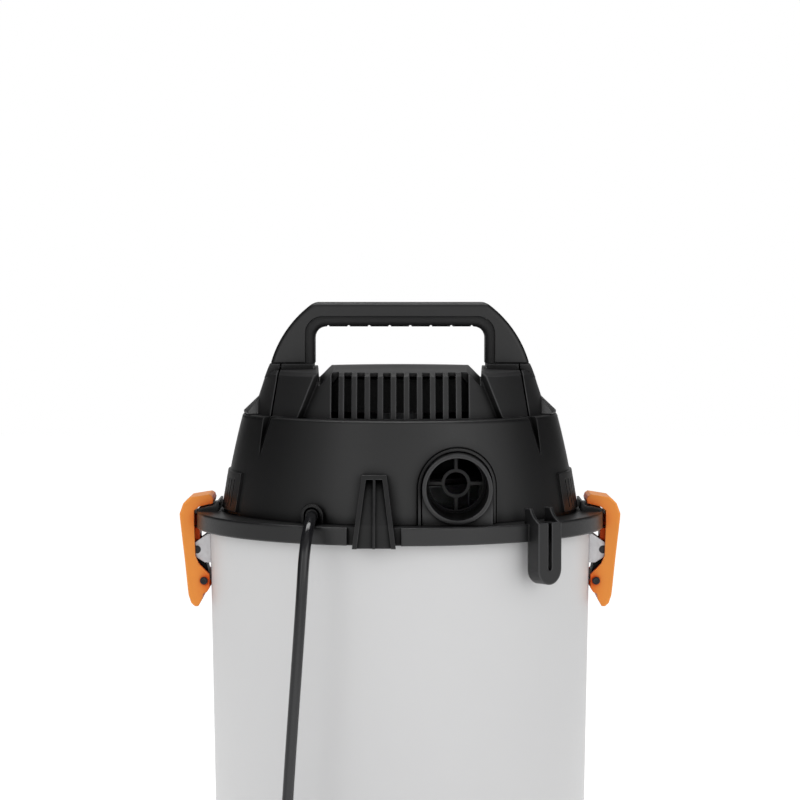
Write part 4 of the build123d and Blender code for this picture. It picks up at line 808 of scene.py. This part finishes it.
@dataclass
class DrawLatches(SubAssembly):
    """The two orange draw latches, with a headed cap on each end of the lever's pin."""

    pin_place: Point = (146.4 * MM, -19.25 * MM, 350.0 * MM)
    cap_radius: float = 2.9 * MM
    cap_sides: int = 32
    cap_height: float = 0.9 * MM
    cap_edge: float = 0.4 * MM
    edge_steps: int = 3
    socket_rim: float = 1.0 * MM
    socket_draft: float = 0.2 * MM
    socket_depth: float = 0.6 * MM

    def model_cap(self) -> bpy.types.Object:
        """Model the pin's cap at the rear of the right latch.

        Returns:
            The cap, a low drum with a rounded edge and a dimple.
        """
        bpy.ops.object.select_all(action="DESELECT")
        bpy.ops.mesh.primitive_cylinder_add(
            vertices=self.cap_sides,
            radius=self.cap_radius,
            depth=self.cap_height,
            location=Vector(self.pin_place) - Vector((0, self.cap_height / 2, 0)),
            rotation=(math.pi / 2, 0, 0),
        )
        cap = begin("lever_pin_cap_right_rear")
        pick(cap, Element.EDGES, lambda edge: any(face.normal.y < -SQUARE for face in edge.link_faces))
        bpy.ops.mesh.bevel(offset=self.cap_edge, segments=self.edge_steps, affect="EDGES")
        pick(cap, Element.FACES, lambda face: face.normal.y < -SQUARE)
        bpy.ops.mesh.inset(thickness=self.socket_rim)
        bpy.ops.mesh.inset(thickness=self.socket_draft, depth=-self.socket_depth)
        end_piece(cap)
        return cap

    def build(self) -> None:
        """Dress both latches and cap their pins."""
        self.dress(ZINC_STEEL, "latch_rivets")
        self.dress(DARK_STEEL, "latch_bracket_pins")
        for side in ("left", "right"):
            self.dress(ORANGE_NYLON, f"latch_lever_{side}")
            self.dress(MOULDED_BLACK, f"latch_link_{side}")
            self.dress(ZINC_STEEL, f"latch_bracket_{side}")
            self.dress(DARK_STEEL, f"latch_lever_pin_{side}")
        cap = self.model_cap()
        pin_height = Matrix.Translation((0, 0, self.pin_place[2]))
        caps = {"right": [cap], "left": []}
        for side, end, axis in (("right", "front", "X"), ("left", "rear", "Y"), ("left", "front", "Z")):
            turn = pin_height @ Matrix.Rotation(math.pi, 4, axis) @ pin_height.inverted()
            caps[side].append(copy_piece(cap, f"lever_pin_cap_{side}_{end}", turn))
        for side, pieces in caps.items():
            for piece in pieces:
                self.fit(piece, f"latch_link_{side}", "dark_steel", DARK_STEEL)


class Lid(SubAssembly):
    """The lid's rim with its outlet block, and the ring that seals it to the drum."""

    def build(self) -> None:
        """Dress the lid."""
        self.dress(SMOOTH_BLACK, "lid_base")
        self.dress(SEAL_RUBBER, "lid_seal")


class MotorHead(SubAssembly):
    """The housing and vented cover over the motor, with the outlet's guard, the gland and the switch."""

    def build(self) -> None:
        """Dress the head."""
        self.dress(MOULDED_BLACK, "motor_housing", "blower_guard", "switch_bezel")
        self.dress(SOFT_EDGED_BLACK, "top_cover")
        self.dress(ACOUSTIC_FOAM, "vent_baffle")
        self.dress(SEAL_RUBBER, "cord_gland")
        self.dress(ZINC_STEEL, "housing_screws")
        self.dress(RED_ROCKER, "switch_rocker")


class CarryingHandle(SubAssembly):
    """The arched handle with its ribbed liner."""

    def build(self) -> None:
        """Dress the handle."""
        self.dress(MOULDED_BLACK, "handle")
        self.dress(SOFT_GRIP, "handle_grip")
        self.dress(ZINC_STEEL, "handle_screws")


class SuctionUnit(SubAssembly):
    """The motor and fan inside the head, and the filter and float that hang into the drum."""

    def build(self) -> None:
        """Dress the works."""
        self.dress(MOTOR_STEEL, "motor_can", "motor_stator", "armature")
        self.dress(DARK_STEEL, "motor_shaft", "motor_bearings")
        self.dress(CARBON, "carbon_brushes")
        self.dress(CAST_ALUMINIUM, "impeller")
        self.dress(MOULDED_BLACK, "fan_shroud", "filter_cage", "filter_knob")
        self.dress(FILTER_PAPER, "filter_media")
        self.dress(SEAL_RUBBER, "filter_end_caps")
        self.dress(FLOAT_PLASTIC, "float_ball")


@dataclass
class MainsLead(SubAssembly):
    """The mains lead: out of the hood, down behind the drum, then coiled on the floor."""

    diameter: float = 8.0 * MM
    length: float = 5.10
    round_steps: int = 6
    curve_steps: int = 6
    curve_order: int = 3
    exit: Point = (-0.0625, -0.119, 0.408)
    route: tuple[Point, ...] = (
        (-0.0625, -0.136, 0.408),
        (-0.0636, -0.1495, 0.4035),
        (-0.0652, -0.160, 0.3942),
        (-0.0666, -0.1662, 0.381),
        (-0.0678, -0.1682, 0.360),
        (-0.0706, -0.1686, 0.319),
        (-0.0764, -0.1668, 0.240),
        (-0.082, -0.166, 0.150),
        (-0.0848, -0.1688, 0.095),
        (-0.0862, -0.1785, 0.059),
        (-0.0864, -0.199, 0.039),
        (-0.08625, -0.223, 0.0323),
        (-0.08625, -0.242, 0.0323),
    )
    coil_centre: Point = (-0.0222, -0.250, 0.0)
    coil_inner: float = 33.6 * MM
    coil_pitch: float = 8.7 * MM
    coil_low: float = 6.2 * MM
    turns_per_layer: float = 3.5
    layers: int = 4
    crossover: float = 0.5
    early_end: float = 0.25
    points_per_turn: int = 16
    plug_lead: float = 32.0 * MM
    strap_width: float = 12.0 * MM
    strap_gauge: float = 1.1 * MM
    strap_inner: float = 26.8 * MM
    strap_outer: float = 70.8 * MM
    strap_low: float = 1.7 * MM
    strap_high: float = 36.8 * MM
    strap_inner_bend: float = 5.0 * MM
    strap_outer_bend: float = 13.0 * MM
    strap_bend_steps: int = 6

    def coil_points(self) -> list[Vector]:
        """Points round the coil, from the top layer's outer end to the lowest layer's.

        Returns:
            The loop points, set out so that the spline runs a pitch from its neighbours.
        """
        span = self.turns_per_layer + self.crossover
        outer = self.coil_inner + self.turns_per_layer * self.coil_pitch
        turns = self.layers * span - self.crossover - self.early_end
        last = self.layers - 1
        points = []
        for step in range(round(turns * self.points_per_turn) + 1):
            turn = step / self.points_per_turn
            layer = min(step // round(span * self.points_per_turn), last)
            along = turn - layer * span
            over = max(0.0, along - self.turns_per_layer)
            swing = min(over, self.crossover / 2) - max(0.0, over - self.crossover / 2)
            reach = (min(along, self.turns_per_layer) + swing) * self.coil_pitch
            ring = outer - reach if layer % 2 == 0 else self.coil_inner + reach
            ring /= math.cos(math.pi / self.points_per_turn)
            angle = math.pi + 2 * math.pi * turn
            height = self.coil_low + (last - layer - over / self.crossover) * self.coil_pitch
            place = Vector((ring * math.cos(angle), ring * math.sin(angle), height))
            points.append(Vector(self.coil_centre) + place)
        return points

    def model_strap(self) -> bpy.types.Object:
        """Model the strap round the coil's bundle, on the side next to the drum.

        Returns:
            The strap, a rounded band open along X.
        """
        middle = self.coil_centre[1] + (self.strap_inner + self.strap_outer) / 2
        bpy.ops.object.select_all(action="DESELECT")
        bpy.ops.mesh.primitive_cube_add(
            size=1.0,
            location=(self.coil_centre[0], middle, (self.strap_low + self.strap_high) / 2),
            scale=(self.strap_width, self.strap_outer - self.strap_inner, self.strap_high - self.strap_low),
        )
        strap = begin("coil_strap")
        pick(strap, Element.FACES, lambda face: abs(face.normal.x) > SQUARE)
        bpy.ops.mesh.delete(type="ONLY_FACE")
        for way, bend in ((1, self.strap_outer_bend), (-1, self.strap_inner_bend)):
            pick(
                strap,
                Element.EDGES,
                lambda edge, way=way: len(edge.link_faces) == 2 and (edge.verts[0].co.y - middle) * way > 0,
            )
            bpy.ops.mesh.bevel(offset=bend, segments=self.strap_bend_steps, affect="EDGES")
        end_piece(strap)
        band = strap.modifiers.new("gauge", "SOLIDIFY")
        band.thickness = self.strap_gauge
        band.offset = 1.0
        bpy.ops.object.modifier_apply(modifier=band.name)
        return strap

    def build(self) -> None:
        self.dress(PVC_SHEATH, "power_cord", "cord_coil", "plug_body")
        self.dress(WOVEN_NYLON, "cord_tie")
        self.dress(PLATED_BRASS, "plug_pins")
        strap = self.model_strap()
        self.fit(strap, "root", "cord_pvc", WOVEN_NYLON)
        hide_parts("cord_tie")
        coil = self.coil_points()
        plug_end = coil[-1] + Vector((self.plug_lead, 0, 0))
        points = [Vector(self.exit), *map(Vector, self.route), *coil, plug_end]
        curve = bpy.data.curves.new("mains_lead", "CURVE")
        curve.dimensions = "3D"
        curve.bevel_depth = self.diameter / 2
        curve.bevel_resolution = self.round_steps
        curve.resolution_u = self.curve_steps
        curve.use_fill_caps = True
        spline = curve.splines.new("NURBS")
        spline.points.add(len(points) - 1)
        for knot, point in zip(spline.points, points):
            knot.co = (*point, 1.0)
        spline.order_u = self.curve_order
        spline.use_endpoint_u = True
        lead = bpy.data.objects.new("mains_lead", curve)
        bpy.context.scene.collection.objects.link(lead)
        self.fit(lead, "root", "cord_pvc", PVC_SHEATH)
        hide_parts("power_cord", "cord_coil")


@dataclass(frozen=True)
class Softbox:
    """A rectangular soft lamp, aimed at the middle of the lid."""

    name: str
    place: Point
    size: tuple[float, float]
    watts: float
    aim: Point = (0.0, 0.0, 0.45)

    def hang(self) -> None:
        """Hang the lamp in the scene."""
        data = bpy.data.lights.new(self.name, "AREA")
        data.shape = "RECTANGLE"
        data.size, data.size_y = self.size
        data.energy = self.watts
        lamp = bpy.data.objects.new(self.name, data)
        lamp.location = self.place
        lamp.rotation_euler = (Vector(self.aim) - lamp.location).to_track_quat("-Z", "Y").to_euler()
        bpy.context.scene.collection.objects.link(lamp)


@dataclass
class Studio:
    """Pale floor, soft lights and the camera at the photo's place."""

    camera_distance: float = 2.0
    camera_height: float = 0.5875
    camera_tilt: float = 2.96
    lens: float = 120.0
    sensor: float = 36.0
    floor_size: float = 14.0
    floor_drop: float = 0.5 * MM
    floor_colour: str = "ececec"
    floor_lift: float = 0.46
    card_gap: float = 1.2
    card_depth: float = 0.3
    card_colour: str = "202020"
    horizon_light: float = 1.73
    overhead_light: float = 0.45
    overhead_from: float = 0.9
    back_light: float = 0.74
    window_sides: tuple[float, float] = (0.02, -0.32)
    window_top: tuple[float, float] = (0.55, 0.72)
    front_gloss: float = 1.0
    high_gloss: float = 0.3
    far_left_gloss: float = 0.18
    backdrop_edge: tuple[float, float] = (0.88, 0.985)
    back_gloss: float = 0.8
    softboxes: tuple[Softbox, ...] = (
        Softbox("right_softbox", (1.5, -1.8, 1.2), (0.9, 1.8), 3.6),
        Softbox("left_softbox", (-1.4, -1.9, 1.2), (0.9, 1.8), 4.4),
        Softbox("overhead_softbox", (0.0, 0.35, 2.3), (1.6, 0.7), 17.0),
    )

    def place_camera(self) -> None:
        """Set up the camera behind the vacuum."""
        data = bpy.data.cameras.new("studio_camera")
        data.lens = self.lens
        data.sensor_width = self.sensor
        camera = bpy.data.objects.new("studio_camera", data)
        camera.location = (0, -self.camera_distance, self.camera_height)
        camera.rotation_euler = (math.radians(90 - self.camera_tilt), 0, 0)
        bpy.context.scene.collection.objects.link(camera)
        bpy.context.scene.camera = camera

    def seen_rays(self, tree: bpy.types.NodeTree, path: bpy.types.Node) -> bpy.types.Node:
        """Tell rays that show the surroundings from rays that only carry light.

        Args:
            tree: node tree that takes the nodes.
            path: the tree's light path.

        Returns:
            A node whose value is 1 for camera, glossy and transmission rays.
        """
        shown = add_node(
            tree,
            "ShaderNodeMath",
            {"operation": "MAXIMUM"},
            {0: (path, "Is Camera Ray"), 1: (path, "Is Glossy Ray")},
        )
        return add_node(
            tree,
            "ShaderNodeMath",
            {"operation": "MAXIMUM"},
            {0: (shown, "Value"), 1: (path, "Is Transmission Ray")},
        )

    def lay_floor(self) -> None:
        """Lay a wide pale floor, which reads as white but keeps the object's shadow.

        Shining surfaces see dark cards on it at the sides, as the flags of a photo studio.
        """
        bpy.ops.object.select_all(action="DESELECT")
        bpy.ops.mesh.primitive_plane_add(size=self.floor_size, location=(0, 0, -self.floor_drop))
        floor = bpy.context.active_object
        floor.name = "studio_floor"
        bpy.ops.object.transform_apply(location=True, rotation=True, scale=True)
        material, tree = fresh_material("matte_studio_floor")
        path = add_node(tree, "ShaderNodeLightPath")
        lift = add_node(
            tree,
            "ShaderNodeMath",
            {"operation": "MULTIPLY"},
            {0: (self.seen_rays(tree, path), "Value"), 1: self.floor_lift},
        )
        paper = add_node(tree, "ShaderNodeBsdfDiffuse", inputs={"Color": linear(self.floor_colour)})
        glow = add_node(tree, "ShaderNodeEmission", inputs={"Strength": (lift, "Value")})
        both = add_node(tree, "ShaderNodeAddShader", inputs={0: (paper, "BSDF"), 1: (glow, "Emission")})
        place = add_node(tree, "ShaderNodeTexCoord")
        way = add_node(tree, "ShaderNodeSeparateXYZ", inputs={0: (place, "Object")})
        aside = add_node(tree, "ShaderNodeMath", {"operation": "ABSOLUTE"}, {0: (way, "X")})
        card = add_node(
            tree,
            "ShaderNodeMapRange",
            inputs={
                "Value": (aside, "Value"),
                "From Min": self.card_gap / 2,
                "From Max": self.card_gap,
                "To Max": self.card_depth,
            },
        )
        mirrored = add_node(
            tree,
            "ShaderNodeMath",
            {"operation": "MULTIPLY"},
            {0: (card, "Result"), 1: (path, "Is Glossy Ray")},
        )
        black = add_node(tree, "ShaderNodeBsdfDiffuse", inputs={"Color": linear(self.card_colour)})
        flagged = add_node(
            tree,
            "ShaderNodeMixShader",
            inputs={0: (mirrored, "Value"), 1: (both, "Shader"), 2: (black, "BSDF")},
        )
        add_node(tree, "ShaderNodeOutputMaterial", inputs={"Surface": (flagged, "Shader")})
        floor.data.materials.append(material)

    def mirrored_room(self, tree: bpy.types.NodeTree, way: bpy.types.Node) -> bpy.types.Node:
        """Set how bright the room looks in surfaces that shine.

        There is a window in front of the vacuum's rear, a pale backdrop, and dark flags elsewhere.

        Args:
            tree: the world's node tree.
            way: the direction's X, Y and Z.

        Returns:
            A node whose value is the brightness in that direction.
        """
        falls = {}
        for name, axis, span, levels in (
            ("backdrop", "Y", self.backdrop_edge, (0.0, self.back_gloss)),
            ("front", "Y", self.window_sides, (0.0, self.front_gloss)),
            ("height", "Z", self.window_top, (1.0, self.high_gloss)),
            ("across", "X", (-1.0, 0.0), (self.far_left_gloss, 1.0)),
        ):
            limits = dict(zip(("From Min", "From Max", "To Min", "To Max"), (*span, *levels)))
            falls[name] = add_node(tree, "ShaderNodeMapRange", inputs={"Value": (way, axis), **limits})
        low = add_node(
            tree,
            "ShaderNodeMath",
            {"operation": "MULTIPLY"},
            {0: (falls["across"], "Result"), 1: (falls["height"], "Result")},
        )
        window = add_node(
            tree,
            "ShaderNodeMath",
            {"operation": "MULTIPLY"},
            {0: (falls["front"], "Result"), 1: (low, "Value")},
        )
        return add_node(
            tree,
            "ShaderNodeMath",
            {"operation": "MAXIMUM"},
            {0: (falls["backdrop"], "Result"), 1: (window, "Value")},
        )

    def light_world(self) -> None:
        """Light the room evenly, with a white backdrop for the camera."""
        world = bpy.data.worlds.new("studio_world")
        world.use_nodes = True
        tree = world.node_tree
        tree.nodes.clear()
        path = add_node(tree, "ShaderNodeLightPath")
        place = add_node(tree, "ShaderNodeTexCoord")
        way = add_node(tree, "ShaderNodeSeparateXYZ", inputs={0: (place, "Generated")})
        shine = self.mirrored_room(tree, way)
        shown = add_node(
            tree,
            "ShaderNodeMath",
            {"operation": "MAXIMUM"},
            {0: (shine, "Value"), 1: (path, "Is Camera Ray")},
        )
        level = add_node(
            tree,
            "ShaderNodeMapRange",
            inputs={
                "Value": (way, "Z"),
                "From Max": self.overhead_from,
                "To Min": self.horizon_light,
                "To Max": self.overhead_light,
            },
        )
        depth = add_node(
            tree,
            "ShaderNodeMapRange",
            inputs={"Value": (way, "Y"), "From Min": -1.0, "To Min": 1.0, "To Max": self.back_light},
        )
        room = add_node(
            tree,
            "ShaderNodeMath",
            {"operation": "MULTIPLY"},
            {0: (level, "Result"), 1: (depth, "Result")},
        )
        strength = add_node(
            tree,
            "ShaderNodeMix",
            {"data_type": "FLOAT"},
            {0: (self.seen_rays(tree, path), "Value"), 2: (room, "Value"), 3: (shown, "Value")},
        )
        glow = add_node(
            tree,
            "ShaderNodeBackground",
            inputs={"Color": (1.0, 1.0, 1.0, 1.0), "Strength": (strength, 0)},
        )
        add_node(tree, "ShaderNodeOutputWorld", inputs={"Surface": (glow, "Background")})
        bpy.context.scene.world = world

    def build(self) -> None:
        """Set up the camera, the floor and the lights."""
        self.place_camera()
        self.lay_floor()
        self.light_world()
        for softbox in self.softboxes:
            softbox.hang()


def main() -> None:
    """Build the studio, then dress the vacuum one sub-assembly at a time."""
    logging.basicConfig(level=logging.INFO, format="%(name)s %(message)s")
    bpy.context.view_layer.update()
    Studio().build()
    for part in (
        MainsLead(),
        Drum(),
        CasterBase(),
        DrawLatches(),
        Lid(),
        MotorHead(),
        CarryingHandle(),
        SuctionUnit(),
    ):
        part.build()
    bpy.context.scene.view_settings.view_transform = "Standard"


if __name__ == "__main__":
    main()
